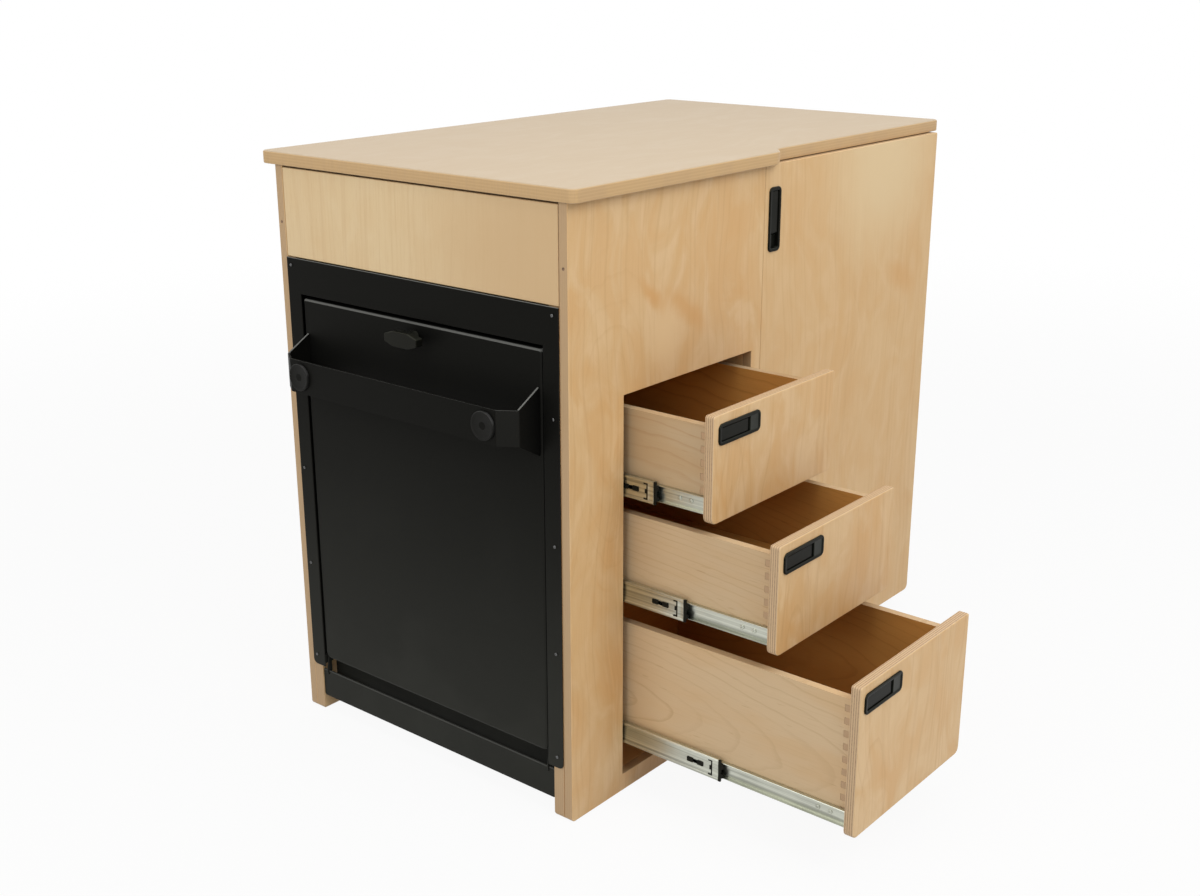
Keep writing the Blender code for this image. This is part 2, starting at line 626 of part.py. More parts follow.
def make_knob(knob):
    """Wing knob with its stem, the spindle through the door and the cam behind it."""
    y, z = knob.at.y, knob.at.z
    half, flat = KNOB_LENGTH / 2, KNOB_FLAT_LENGTH / 2
    high, tip = KNOB_HEIGHT / 2, KNOB_TIP_HEIGHT / 2
    corners = [(-half, -tip), (-flat, -high), (flat, -high), (half, -tip),
               (half, tip), (flat, high), (-flat, high), (-half, tip)]
    outline = fillet([(y + a, z + b, KNOB_ROUND) for a, b in corners])
    front = PAN_FACE - KNOB_REACH
    shape = prism(outline, "X", front, front + KNOB_THICKNESS)
    round_edges(shape, KNOB_ROUND / 2, 2, lambda co: near(co.x, front))
    wing = piece("latch_knob", shape, knob, (front, y, z), BLACK_PLASTIC)
    smooth(wing)
    inside = PAN_FACE + PAN_WALL + FIT
    fuse(wing, "stem", disc("X", y, z, KNOB_STEM_RADIUS, front + KNOB_THICKNESS / 2,
                            PAN_FACE - FIT), knob)
    fuse(wing, "spindle", disc("X", y, z, KNOB_SPINDLE_RADIUS, front + KNOB_THICKNESS,
                               inside + CAM_THICKNESS / 2, SMALL_SIDES), knob)
    cam = block(inside, inside + CAM_THICKNESS, y - CAM_LENGTH / 2, y + CAM_LENGTH / 2,
                z - CAM_WIDTH / 2, z + CAM_WIDTH / 2)
    fuse(wing, "cam", cam, knob)


# Cupboard door and its piano hinge


def make_tall_door(door):
    radii = (DOOR_CORNER_RADIUS, DOOR_FOOT_RADIUS, DOOR_CORNER_RADIUS, DOOR_CORNER_RADIUS)
    outline = fillet(box_corners(DOOR_LEFT, BODY_LENGTH, DOOR_BOTTOM, PANEL_TOP - DOOR_GAP, radii))
    panel = piece("tall_door", prism(outline, "Y", 0, PLY), door, (DOOR_LEFT, 0, DOOR_BOTTOM),
                  PLYWOOD)
    ease(panel, BOARD_ARRIS)
    return panel


def knuckle_stations():
    """Stretches in Z of the hinge's knuckles, from the bottom up, of equal length."""
    low = DOOR_BOTTOM + LEAF_END_INSET
    high = PANEL_TOP - DOOR_GAP - LEAF_END_INSET
    count = max(3, round((high - low) / KNUCKLE_LENGTH) // 2 * 2 + 1)
    length = (high - low) / count
    return [(low + length * index, low + length * (index + 1)) for index in range(count)]


def make_hinge_leaf(name, body, own, y_low):
    stations = knuckle_stations()
    plate = block(BODY_LENGTH - LEAF_WIDTH, BODY_LENGTH, y_low, y_low + LEAF_SHEET,
                  stations[0][0], stations[-1][1])
    leaf = piece(name, plate, body, (BODY_LENGTH - LEAF_WIDTH, y_low, stations[0][0]), ZINC)
    trims = [(low + KNUCKLE_GAP / 2, high - KNUCKLE_GAP / 2)
             for index, (low, high) in enumerate(stations) if index % 2 == own]
    necks = [block(BODY_LENGTH - OVERRUN, DOOR_AXIS_X, y_low, y_low + LEAF_SHEET, low, high)
             for low, high in trims]
    fuse(leaf, "necks", together(necks), body)
    barrels = [disc("Z", DOOR_AXIS_X, DOOR_AXIS_Y, KNUCKLE_RADIUS, low, high, SMALL_SIDES)
               for low, high in trims]
    fuse(leaf, "barrels", together(barrels), body)
    return leaf


def make_piano_hinge(cabinet, door):
    stations = knuckle_stations()
    low, high = stations[0][0], stations[-1][1]
    leaf = make_hinge_leaf("hinge_leaf_door", door, 1, PLY + FIT)
    bore = disc("Z", DOOR_AXIS_X, DOOR_AXIS_Y, PIN_RADIUS + FIT, low - OVERRUN, high + OVERRUN,
                SMALL_SIDES)
    cut(leaf, "pin_bore", bore, door)
    leaf = make_hinge_leaf("hinge_leaf_frame", cabinet, 0, CARCASS_FRONT - FIT - LEAF_SHEET)
    pin = disc("Z", DOOR_AXIS_X, DOOR_AXIS_Y, PIN_RADIUS, low + OVERRUN, high - OVERRUN, SMALL_SIDES)
    fuse(leaf, "pin", pin, cabinet)


# Flush pulls


def pull_frame(corner_x, corner_z, face_y, upright):
    """Maps a pull's length, width and outward height to the cabinet's axes.

    The pull's length runs to the right on a drawer and down on the tall door.
    """
    if upright:
        return lambda along, across, out: (corner_x + across, face_y - out, corner_z - along)
    return lambda along, across, out: (corner_x + along, face_y - out, corner_z - PULL_WIDTH + across)


def pull_prism(outline, low, high, place):
    shape = prism(outline, "Z", low, high)
    for vert in shape.verts:
        vert.co = place(vert.co.x, vert.co.y, vert.co.z)
    return shape


def make_pull(name, body, place, board):
    """The bezel with its finger dish and button well, and the pocket in the board for it."""
    inset = PULL_CUP_INSET
    cup = fillet(box_corners(inset, PULL_LENGTH - inset, inset, PULL_WIDTH - inset,
                             [PULL_CUP_RADIUS] * 4))
    pocket = fillet(box_corners(inset - FIT, PULL_LENGTH - inset + FIT, inset - FIT,
                                PULL_WIDTH - inset + FIT, [PULL_CUP_RADIUS] * 4))
    cut(board, "pull_pocket",
        pull_prism(pocket, -PULL_CUP_DEPTH - FIT, PULL_PROUD, place), body)

    rim = fillet(box_corners(0, PULL_LENGTH, 0, PULL_WIDTH, [PULL_RADIUS] * 4))
    shape = prism(rim, "Z", FIT, PULL_PROUD)
    round_edges(shape, PULL_RIM_ROUND, 2, lambda co: near(co.z, PULL_PROUD))
    for vert in shape.verts:
        vert.co = place(*vert.co)
    bezel = piece(f"{name}_bezel", shape, body, place(0, 0, 0), BLACK_PLASTIC)
    smooth(bezel)
    fuse(bezel, "cup", pull_prism(cup, -PULL_CUP_DEPTH, PULL_PROUD / 2, place), body)
    dish_end = PULL_RIM + PULL_DISH_LENGTH
    dish = fillet(box_corners(PULL_RIM, dish_end + OVERRUN, PULL_RIM, PULL_WIDTH - PULL_RIM,
                              (PULL_WELL_RADIUS, 0, 0, PULL_WELL_RADIUS)))
    cut(bezel, "dish", pull_prism(dish, PULL_PROUD - PULL_DISH_DEPTH, PULL_PROUD + OVERRUN, place),
        body)
    well = fillet(box_corners(dish_end, PULL_LENGTH - PULL_RIM, PULL_RIM, PULL_WIDTH - PULL_RIM,
                              (0, PULL_WELL_RADIUS, PULL_WELL_RADIUS, 0)))
    cut(bezel, "well", pull_prism(well, PULL_PROUD - PULL_WELL_DEPTH, PULL_PROUD + OVERRUN, place),
        body)


def make_button(name, button, place, pressed):
    start = PULL_RIM + PULL_DISH_LENGTH + PULL_FINGER_SLOT
    outline = fillet(box_corners(start, PULL_LENGTH - PULL_RIM - FIT, PULL_RIM + FIT,
                                 PULL_WIDTH - PULL_RIM - FIT,
                                 (0, PULL_WELL_RADIUS, PULL_WELL_RADIUS, 0)))
    face = PULL_PROUD - BUTTON_SINK - pressed
    shape = prism(outline, "Z", face - BUTTON_THICKNESS, face)
    round_edges(shape, BUTTON_ROUND, 1, lambda co: near(co.z, face))
    for vert in shape.verts:
        vert.co = place(*vert.co)
    smooth(piece(f"{name}_button", shape, button, button.at, GREY_PLASTIC))


# Drawers and runners


def comb(outer, root, low, high, count, mine):
    """Points up one jointed end: equal fingers, counted from the top, every second one cut."""
    step = (high - low) / count
    points = []
    for index in range(count):
        bottom = low + step * index
        stands = (count - 1 - index) % 2 == mine
        reach = outer if stands else root
        ease_in = FIT / 2 if stands else -FIT / 2
        points.append((reach, bottom + (ease_in if index else 0)))
        points.append((reach, bottom + step - (ease_in if index < count - 1 else 0)))
    return points


def jointed_board(near_end, near_root, far_end, far_root, low, high, mine):
    """Outline of a board with finger joints at both of its ends."""
    count = max(3, round((high - low) / FINGER))
    rising = comb(far_end, far_root, low, high, count, mine)
    falling = comb(near_end, near_root, low, high, count, mine)
    return rising + falling[::-1]


def make_drawer(number, drawer, front_y, low):
    height = FRONT_HEIGHTS[number]
    name = f"drawer_{number + 1}"
    left = OPENING_LEFT + REVEAL
    right = OPENING_RIGHT - REVEAL
    back_y = front_y + PLY
    radii = (FRONT_FOOT_RADIUS, FRONT_FOOT_RADIUS, FRONT_TOP_RADIUS, FRONT_TOP_RADIUS)
    outline = fillet(box_corners(left, right, low, low + height, radii))
    front = piece(f"{name}_front", prism(outline, "Y", front_y, back_y), drawer,
                  (left, front_y, low), PLYWOOD)
    ease(front, FRONT_ARRIS, 2)

    box_left = OPENING_LEFT + RUNNER_SPACE
    box_right = OPENING_RIGHT - RUNNER_SPACE
    box_low = low + BOX_RISE
    box_high = box_low + BOX_HEIGHTS[number]
    box_back = back_y + BOX_DEPTH
    core_left = box_left + BOX_BOARD + FIT
    core_right = box_right - BOX_BOARD - FIT
    across = jointed_board(box_left, core_left, box_right, core_right, box_low, box_high, 1)
    fuse(front, "inner_board", prism(across, "Y", back_y - OVERRUN, back_y + BOX_BOARD), drawer)

    groove_low = box_low + BOX_BOTTOM_RISE
    reach = GROOVE_DEPTH

    def groove():
        return block(box_left + BOX_BOARD - reach, box_right - BOX_BOARD + reach,
                     back_y + BOX_BOARD - reach, box_back - BOX_BOARD + reach,
                     groove_low, groove_low + BOX_BOTTOM + 2 * FIT)

    cut(front, "bottom_groove", groove(), drawer)
    along = jointed_board(back_y + FIT, back_y + BOX_BOARD + FIT, box_back,
                          box_back - BOX_BOARD - FIT, box_low, box_high, 0)
    for side, x_low in (("left", box_left), ("right", box_right - BOX_BOARD)):
        board = piece(f"{name}_side_{side}", prism(along, "X", x_low, x_low + BOX_BOARD), drawer,
                      (x_low, back_y, box_low), MAPLE)
        cut(board, "bottom_groove", groove(), drawer)
    rear = piece(f"{name}_back", prism(across, "Y", box_back - BOX_BOARD, box_back), drawer,
                 (box_left, box_back - BOX_BOARD, box_low), MAPLE)
    cut(rear, "bottom_groove", groove(), drawer)
    bottom = block(box_left + BOX_BOARD - reach + FIT, box_right - BOX_BOARD + reach - FIT,
                   back_y + BOX_BOARD - reach + FIT, box_back - BOX_BOARD + reach - FIT,
                   groove_low + FIT, groove_low + FIT + BOX_BOTTOM)
    piece(f"{name}_bottom", bottom, drawer, (box_left, back_y, groove_low), PLYWOOD)
    return front


def mirrored(points):
    """A half profile from the web outwards, completed by its reflection below."""
    return points + [(a, -b) for a, b in reversed(points)]


def outer_profile():
    half, lip = OUTER_HEIGHT / 2, OUTER_LIP
    return mirrored([(FIT + STEEL, half - STEEL), (OUTER_REACH - STEEL, half - STEEL),
                     (OUTER_REACH - STEEL, half - lip), (OUTER_REACH, half - lip),
                     (OUTER_REACH, half - STEEL / 2), (OUTER_REACH - STEEL / 2, half),
                     (FIT + STEEL / 2, half), (FIT, half - STEEL / 2)])


def middle_profile():
    half = MIDDLE_HEIGHT / 2
    start, web, reach, turn = MIDDLE_START, MIDDLE_WEB_START, MIDDLE_REACH, MIDDLE_ROUND
    shoulder = half - MIDDLE_RACE
    return mirrored([(web + STEEL, shoulder), (start + turn, shoulder + turn),
                     (start + turn, half - STEEL), (reach - STEEL, half - STEEL),
                     (reach - STEEL, half - MIDDLE_LIP), (reach, half - MIDDLE_LIP),
                     (reach, half - turn), (reach - turn, half), (start + turn, half),
                     (start, half - turn), (start, shoulder + turn), (web, shoulder)])


def inner_profile():
    half = INNER_HEIGHT / 2
    web = RUNNER_SPACE - FIT
    return mirrored([(web - STEEL, half - STEEL), (INNER_START, half - STEEL),
                     (INNER_START, half - STEEL / 2), (INNER_START + STEEL / 2, half),
                     (web - STEEL / 2, half), (web, half - STEEL / 2)])


def member(name, profile, left_side, axis_z, start, body):
    """One member of a runner, pushed back from its front end at `start`."""
    def across(a):
        return OPENING_LEFT + a if left_side else OPENING_RIGHT - a
    outline = [(across(a), axis_z + b) for a, b in profile]
    steel = piece(name, prism(outline, "Y", start, start + RUNNER_LENGTH), body,
                  (across(0), start, axis_z), ZINC)
    smooth(steel)
    return steel, across


def make_runner(number, side, cabinet, middle, drawer, front_y, low):
    axis_z = low + RUNNER_RISE
    left_side = side == "left"
    name = f"runner_{number + 1}_{side}"
    seat = PLY + RUNNER_SETBACK
    pulled = PULLED_LENGTHS[number]
    member(f"{name}_outer", outer_profile(), left_side, axis_z, seat, cabinet)
    start = seat - pulled / 2
    steel, across = member(f"{name}_middle", middle_profile(), left_side, axis_z, start, middle)
    half = MIDDLE_HEIGHT / 2
    x_ends = sorted((across(MIDDLE_START + FIT), across(INNER_START - FIT)))
    bumper = block(*x_ends, start - BUMPER_LENGTH, start + OVERRUN, axis_z - half, axis_z + half)
    fuse(steel, "bumper", bumper, middle)
    x_ends = sorted((across(MIDDLE_WEB_START - OVERRUN), across(MIDDLE_WEB_START + STEEL + OVERRUN)))
    slot = block(*x_ends, start + SLOT_SETBACK, start + SLOT_SETBACK + SLOT_LENGTH,
                 axis_z - SLOT_HEIGHT / 2, axis_z + SLOT_HEIGHT / 2)
    cut(steel, "ladder_slot", slot, middle)
    member(f"{name}_inner", inner_profile(), left_side, axis_z, front_y + PLY + FIT, drawer)


def make_drawers(cabinet):
    top = OPENING_TOP - REVEAL
    for number, height in enumerate(FRONT_HEIGHTS):
        low = top - height
        front_y = -PULLED_LENGTHS[number]
        axis = ((OPENING_LEFT + OPENING_RIGHT) / 2, front_y, low + RUNNER_RISE)
        drawer = carrier(f"drawer_{number + 1}_slide", axis, cabinet)
        front = make_drawer(number, drawer, front_y, low)
        for side, x in (("left", OPENING_LEFT), ("right", OPENING_RIGHT)):
            middle = carrier(f"runner_{number + 1}_{side}_slide",
                             (x, front_y / 2, low + RUNNER_RISE), cabinet)
            make_runner(number, side, cabinet, middle, drawer, front_y, low)
        place = pull_frame(OPENING_LEFT + REVEAL + PULL_SIDE_INSET, top - PULL_TOP_INSET, front_y,
                           upright=False)
        make_pull(f"pull_{number + 1}", drawer, place, front)
        button = carrier(f"pull_{number + 1}_axis", place(PULL_LENGTH, PULL_WIDTH / 2, 0), drawer)
        make_button(f"pull_{number + 1}", button, place, 0)
        top = low - REVEAL


def build():
    clear_scene()
    cabinet = carrier("cabinet", (0, 0, 0))
    make_worktop(cabinet)
    make_panels(cabinet)
    make_partitions(cabinet)
    make_shower_end_boards(cabinet)
    make_shower_case(cabinet)
    make_kick_bar(cabinet)

    fold = carrier("shower_door_axis", (HINGE_X, BODY_DEPTH / 2, HINGE_Z), cabinet)
    make_shower_door(fold)
    make_rail(fold)
    turn = carrier("latch_knob_axis", (PAN_FACE, BODY_DEPTH / 2, PAN_TOP - KNOB_FROM_TOP), fold)
    make_knob(turn)

    swing = carrier("tall_door_axis", (DOOR_AXIS_X, DOOR_AXIS_Y, DOOR_BOTTOM), cabinet)
    panel = make_tall_door(swing)
    make_piano_hinge(cabinet, swing)
    place = pull_frame(DOOR_LEFT + PULL_SIDE_INSET, PANEL_TOP - DOOR_PULL_TOP_INSET, 0,
                       upright=True)
    make_pull("pull_door", swing, place, panel)
    button = carrier("pull_door_axis", place(PULL_LENGTH, PULL_WIDTH / 2, 0), swing)
    make_button("pull_door", button, place, BUTTON_TRAVEL)

    make_drawers(cabinet)


build()
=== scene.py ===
"""Looks of the plywood shower and kitchen cabinet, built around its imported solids."""

import math
from collections import namedtuple

import bmesh
import bpy
from bpy.props import FloatProperty, FloatVectorProperty, PointerProperty
from mathutils import Matrix, Vector

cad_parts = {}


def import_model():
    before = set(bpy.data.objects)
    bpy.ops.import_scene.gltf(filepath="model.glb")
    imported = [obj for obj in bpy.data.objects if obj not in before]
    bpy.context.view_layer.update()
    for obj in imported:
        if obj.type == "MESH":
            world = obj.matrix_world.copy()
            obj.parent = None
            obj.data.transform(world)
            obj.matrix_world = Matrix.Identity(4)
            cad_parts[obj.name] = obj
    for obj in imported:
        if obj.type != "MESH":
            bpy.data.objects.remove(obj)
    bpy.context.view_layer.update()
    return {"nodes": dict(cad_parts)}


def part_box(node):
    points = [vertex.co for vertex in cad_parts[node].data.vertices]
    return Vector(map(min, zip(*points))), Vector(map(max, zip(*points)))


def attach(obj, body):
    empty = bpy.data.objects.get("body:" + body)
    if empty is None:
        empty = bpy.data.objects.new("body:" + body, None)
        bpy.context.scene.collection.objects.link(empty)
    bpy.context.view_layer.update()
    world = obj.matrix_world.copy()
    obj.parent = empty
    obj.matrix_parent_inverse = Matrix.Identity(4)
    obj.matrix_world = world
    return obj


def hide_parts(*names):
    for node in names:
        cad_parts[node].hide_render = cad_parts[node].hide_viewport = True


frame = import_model()

bl_info = {
    "name": "Shower and kitchen cabinet",
    "version": (1, 0, 0),
    "blender": (4, 5, 0),
    "location": "3D View > Sidebar > Cabinet",
    "description": "Finishes, fittings and studio for a plywood shower and kitchen cabinet",
    "category": "Object",
}

NODES = frame["nodes"]
SIDES = ("left", "right")
DRAWERS = (1, 2, 3)

# The body's near bottom corner, where the shower end meets the drawer face
CORNER = Vector(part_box("front_panel")[0])
BODY_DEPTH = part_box("rear_panel")[1].y - CORNER.y
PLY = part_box("rear_panel")[1].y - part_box("rear_panel")[0].y

# Places and small sizes of the fittings, in metres, as the photograph shows them
SCREW_INSET = 0.025
SCREW_HEIGHTS = (0.098, 0.258, 0.417, 0.596, 0.735)
SCREW_CROWN = 0.0004
PLUG_HEIGHT = 0.797
PLUG_RADIUS = 0.0022
PLUG_DEPTH = 0.0003
PAD_PLACES = (0.098, 0.467)
PAD_SEAT = 0.0012
PAD_DEPTH = 0.0042
PAD_EDGE = 0.0010
PULL_SIZE = (0.096, 0.030, 0.0025)
PULL_DISH_END = 0.0692
PULL_BUTTON_START = 0.0720
BUMPER_END = 0.00728
MIDDLE_WEB_DEPTH = 0.0013
STEEL = 0.0012
INSERT_START = 0.0335
INSERT_STEP = 0.0175
RUNNER_SCREWS = (0.025, 0.044)

# Seam between a drawer's front board and the board glued behind it
GLUE_LINE = 0.0001

# Steps from a face's rim inwards, each with its width and its rise
PAD_STEPS = ((0.0022, 0.0), (0.0012, -0.0009), (0.0100, -0.0002), (0.0016, -0.0016))
SCREW_SOCKET = (0.0001, -0.0009)

# The folds of the door pan end this far from the latch knob
KNOB_CLEAR = 0.04

# Points closer than this are one point, and a face turned this far one way looks that way
SAME = 1e-6
FACING = 0.99

# How near the corners of a solid are merged, and in degrees the bend below which two facets are
# one face, the bend above which an edge is eased, and those below which shading runs on
MERGE = 0.00001
FLAT_ANGLE = 0.6
SHARP_ANGLE = 38.0
SMOOTH_ANGLE = 32.0
MOULDED_ANGLE = 40.0

# How far a board's surface is turned before it shows its broad face, or its end
BROAD_TURN = (0.45, 0.75)
END_TURN = (0.6, 0.85)

AXES = {"X": 0, "Y": 1, "Z": 2}


def length(name, default, description):
    return FloatProperty(name=name, description=description, default=default, unit="LENGTH",
                         precision=4)


def share(name, default, description):
    return FloatProperty(name=name, description=description, default=default, min=0.0, max=1.0,
                         subtype="FACTOR")


def colour(name, default, description):
    return FloatVectorProperty(name=name, description=description, default=default, min=0.0,
                               max=1.0, subtype="COLOR")


class WoodSettings(bpy.types.PropertyGroup):
    veneer: colour("Veneer", (0.700, 0.470, 0.236), "Face veneer of the plywood boards")
    veneer_line: colour("Veneer line", (0.47, 0.225, 0.070), "Growth lines in the face veneer")
    veneer_flame: colour("Veneer flame", (0.66, 0.375, 0.145), "Warm clouds in the face veneer")
    pale: colour("Pale veneer", (0.755, 0.570, 0.330), "Face veneer of the false front")
    top: colour("Worktop", (0.505, 0.392, 0.260), "Face veneer of the worktop")
    top_line: colour("Worktop line", (0.46, 0.335, 0.200), "Growth lines in the worktop")
    top_edge: colour("Worktop edge", (0.59, 0.385, 0.180), "Oiled edge of the worktop")
    post_edge: colour("Post edges", (0.50, 0.332, 0.177), "Sanded edges of panels and posts")
    maple: colour("Maple", (0.650, 0.475, 0.285), "Solid boards of the drawer boxes")
    maple_line: colour("Maple line", (0.40, 0.235, 0.105), "Growth lines in the solid boards")
    # The drawers' inside tones are painted shade: the same maple, darkened and warmed to brown
    inside: colour("Inside", (0.57, 0.285, 0.072), "Stained inner faces of the drawers")
    inside_line: colour("Inside line", (0.42, 0.195, 0.046), "Growth lines in the stained faces")
    ply_long: colour("Long plies", (0.63, 0.455, 0.270), "Board edges: plies cut along the grain")
    ply_end: colour("End plies", (0.47, 0.310, 0.180), "Board edges: plies cut across the grain")
    glue: colour("Glue line", (0.24, 0.140, 0.078), "Board edges: lines between the plies")
    putty: colour("Putty", (0.050, 0.028, 0.014), "Filler of the two plugs in the posts")
    ply_count: FloatProperty(name="Plies", description="Plies in a board", default=9.0)


class MetalSettings(bpy.types.PropertyGroup):
    powder: colour("Powder coat", (0.0042, 0.0042, 0.0038), "Black coat of the sheet metal")
    # Painted reflection of the white floor: the coat's tone low down on the sheet metal
    floor_reflection: colour("Coat with painted floor reflection", (0.030, 0.0305, 0.0265), "The same coat down by the floor")
    # Painted highlight: the coat's tone on its upper rounded edges
    edge_highlight: colour("Coat with painted edge highlight", (0.16, 0.16, 0.15), "The same coat on its upper edges")
    powder_roughness: share("Powder coat roughness", 0.46, "Gloss of the black coat")
    zinc: colour("Zinc", (0.49, 0.50, 0.43), "Plated steel of the runners")
    zinc_roughness: share("Zinc roughness", 0.26, "Gloss of the plated steel")
    screw: colour("Screws", (0.22, 0.22, 0.22), "Blackened steel of the flange screws")
    screw_radius: length("Screw radius", 0.0021, "Heads of the flange screws")
    screw_rise: length("Screw rise", 0.0012, "How far the flange screws stand proud")
    pad_radius: length("Pad radius", 0.0202, "Rubber foot pads on the rail")


class PlasticSettings(bpy.types.PropertyGroup):
    black: colour("Black plastic", (0.0060, 0.0062, 0.0048), "Bezels, knob and runner catches")
    button: colour("Button", (0.0145, 0.0165, 0.0135), "Push buttons of the pulls")
    rubber: colour("Rubber", (0.0085, 0.0085, 0.0085), "Foot pads of the rail")


class StudioSettings(bpy.types.PropertyGroup):
    lens: FloatProperty(name="Lens", description="Focal length on a 36 mm sensor", default=45.149)
    yaw: FloatProperty(name="Yaw", description="Turn from +Y towards +X",
                       default=math.radians(50.378), subtype="ANGLE")
    pitch: FloatProperty(name="Pitch", description="Tilt above the horizon",
                         default=math.radians(-18.403), subtype="ANGLE")
    roll: FloatProperty(name="Roll", description="Turn about the line of sight",
                        default=math.radians(-0.117), subtype="ANGLE")
    place: FloatVectorProperty(name="Place", description="Camera, from the body's near corner",
                               default=(-1.4082, -1.2178, 1.1808), subtype="TRANSLATION")
    ambient: FloatProperty(name="Ambient", description="Light from all round", default=0.37)


SETTING_GROUPS = {"wood": WoodSettings, "metal": MetalSettings, "plastic": PlasticSettings,
                  "studio": StudioSettings}


# Shader wiring


class Wire:
    """A socket of a node tree that can stand in a sum; each sum adds its Math node."""

    def __init__(self, tree, socket=None):
        self.tree = tree
        self.socket = socket

    def add(self, kind, settings=None, values=None, output=0):
        """Add any node: first its settings, then numbers or wires into its sockets."""
        node = self.tree.nodes.new("ShaderNode" + kind)
        for name, value in (settings or {}).items():
            setattr(node, name, value)
        for name, value in (values or {}).items():
            if isinstance(value, Wire):
                self.tree.links.new(value.socket, node.inputs[name])
            else:
                node.inputs[name].default_value = value
        return Wire(self.tree, node.outputs[output])

    def sums(self, operation, *values, clamp=False):
        settings = {"operation": operation, "use_clamp": clamp}
        return self.add("Math", settings, dict(enumerate(values)))

    def __add__(self, other):
        return self.sums("ADD", self, other)

    def __radd__(self, other):
        return self.sums("ADD", other, self)

    def __sub__(self, other):
        return self.sums("SUBTRACT", self, other)

    def __rsub__(self, other):
        return self.sums("SUBTRACT", other, self)

    def __mul__(self, other):
        return self.sums("MULTIPLY", self, other)

    def __rmul__(self, other):
        return self.sums("MULTIPLY", other, self)

    def __truediv__(self, other):
        return self.sums("DIVIDE", self, other)

    def __gt__(self, other):
        return self.sums("GREATER_THAN", self, other)

    def __abs__(self):
        return self.sums("ABSOLUTE", self)

    def fraction(self):
        return self.sums("FRACT", self)

    def larger(self, other):
        return self.sums("MAXIMUM", self, other)

    def span(self, other):
        """Length of a slope that runs this far one way and that far the other."""
        return self.sums("SQRT", self * self + other * other)

    def clamped(self):
        return self.sums("ADD", self, 0.0, clamp=True)

    def rise(self, low, high):
        """0 below low, 1 above high and smooth between them."""
        return self.add("MapRange", {"interpolation_type": "SMOOTHSTEP"},
                        {"Value": self, "From Min": low, "From Max": high})

    def parts(self):
        """The x, y and z of a vector."""
        node = self.add("SeparateXYZ", None, {0: self}).socket.node
        return [Wire(self.tree, socket) for socket in node.outputs]

    def vector(self, x, y, z):
        return self.add("CombineXYZ", None, {0: x, 1: y, 2: z})

    def noise(self, x, y, z, detail=2.0, distortion=0.0):
        """Soft noise from about 0.25 to 0.75, one wave to each unit of x, y and z."""
        values = {"Vector": self.vector(x, y, z), "Scale": 1.0, "Detail": detail,
                  "Distortion": distortion}
        return self.add("TexNoise", None, values)

    def mix(self, factor, first, second):
        """Mix two colours; a plain colour may be given as three numbers."""
        values = {0: factor, 6: four(first), 7: four(second)}
        return self.add("Mix", {"data_type": "RGBA"}, values, output=2)


def four(value):
    """A colour as a socket takes it."""
    return value if isinstance(value, Wire) else (*value, 1.0)


def tinted(tone, *by):
    """A colour with its red, green and blue times one number, or times three."""
    return [min(1.0, part * times) for part, times in zip(tone, by if len(by) == 3 else by * 3)]


class Finish:
    """A new material with its Principled shader and the wires that patterns start from."""

    def __init__(self, name, roughness, metallic=0.0, specular=0.5, gloss=(1.0, 1.0, 1.0)):
        self.material = bpy.data.materials.new(name)
        self.material.use_nodes = True
        self.tree = self.material.node_tree
        self.shader = self.tree.nodes["Principled BSDF"]
        self.shader.inputs["Roughness"].default_value = roughness
        self.shader.inputs["Metallic"].default_value = metallic
        self.shader.inputs["Specular IOR Level"].default_value = specular
        self.shader.inputs["Specular Tint"].default_value = (*gloss, 1.0)
        self.wire = Wire(self.tree)
        self.place = self.wire.add("TexCoord", output="Object").parts()
        self.normal = self.wire.add("TexCoord", output="Normal").parts()

    def feed(self, socket, wire):
        self.tree.links.new(wire.socket, self.shader.inputs[socket])

    def done(self, tone, roughness=None, height=None, depth=0.0, strength=0.5):
        """Feed in the pattern's colour, gloss and relief, and give the material."""
        self.feed("Base Color", tone)
        if roughness:
            self.feed("Roughness", roughness)
        if height:
            values = {"Height": height, "Distance": depth, "Strength": strength}
            self.feed("Normal", self.wire.add("Bump", None, values))
        return self.material


# Wood finishes

LACQUER = {"roughness": 0.42, "specular": 0.36}

# Growth rings as a board cuts them: nested round a heart that lies at `along` and `across` on
# its object coordinates, drawn out `stretch` times along the grain, and seen from `start` to
# `reach` away from the heart
Rings = namedtuple("Rings", "spacing stretch along across start reach share")
PLAIN = Rings(0.017, 12.0, -1.30, 0.04, 0.0, 0.30, 0.10)


def growth_lines(wire, along, across, seed, rings):
    """Thin darker lines, sharp on the outer side as late wood is."""
    drift = wire.noise(along * 4.0, across * 9.0, seed + 3.0) - 0.5
    wave = wire.noise(along * 20.0, across * 42.0, seed + 8.0) - 0.5
    radius = ((along - rings.along) / rings.stretch).span(across - rings.across)
    ring = radius / rings.spacing + drift * 2.6 + wave * 0.5
    within = ring.fraction()
    line = within.rise(0.74, 0.96) * (1.0 - within.rise(0.96, 1.0))
    plain = wire.noise(along * 2.5, ring * 0.8, seed + 15.0).rise(0.36, 0.60)
    near = 1.0 - radius.rise(rings.reach * 0.6, rings.reach)
    if rings.start:
        near = near * radius.rise(rings.start * 0.6, rings.start)
    return line * (0.3 + plain * 0.7) * near * rings.share


def curl(wire, along, across, seed, patch):
    """Soft patch in the figure, 1 at its middle and 0 past its half length and width."""
    warp = (wire.noise(along * 34.0, across * 34.0, seed) - 0.5) * 0.016
    run = along - patch.middle[0] + warp
    off = across - patch.middle[1] + warp
    lean = math.radians(patch.lean)
    lengthwise = (run * math.cos(lean) + off * math.sin(lean)) / patch.size[0]
    sideways = (off * math.cos(lean) - run * math.sin(lean)) / patch.size[1]
    return 1.0 - lengthwise.span(sideways).rise(0.15, 1.0)


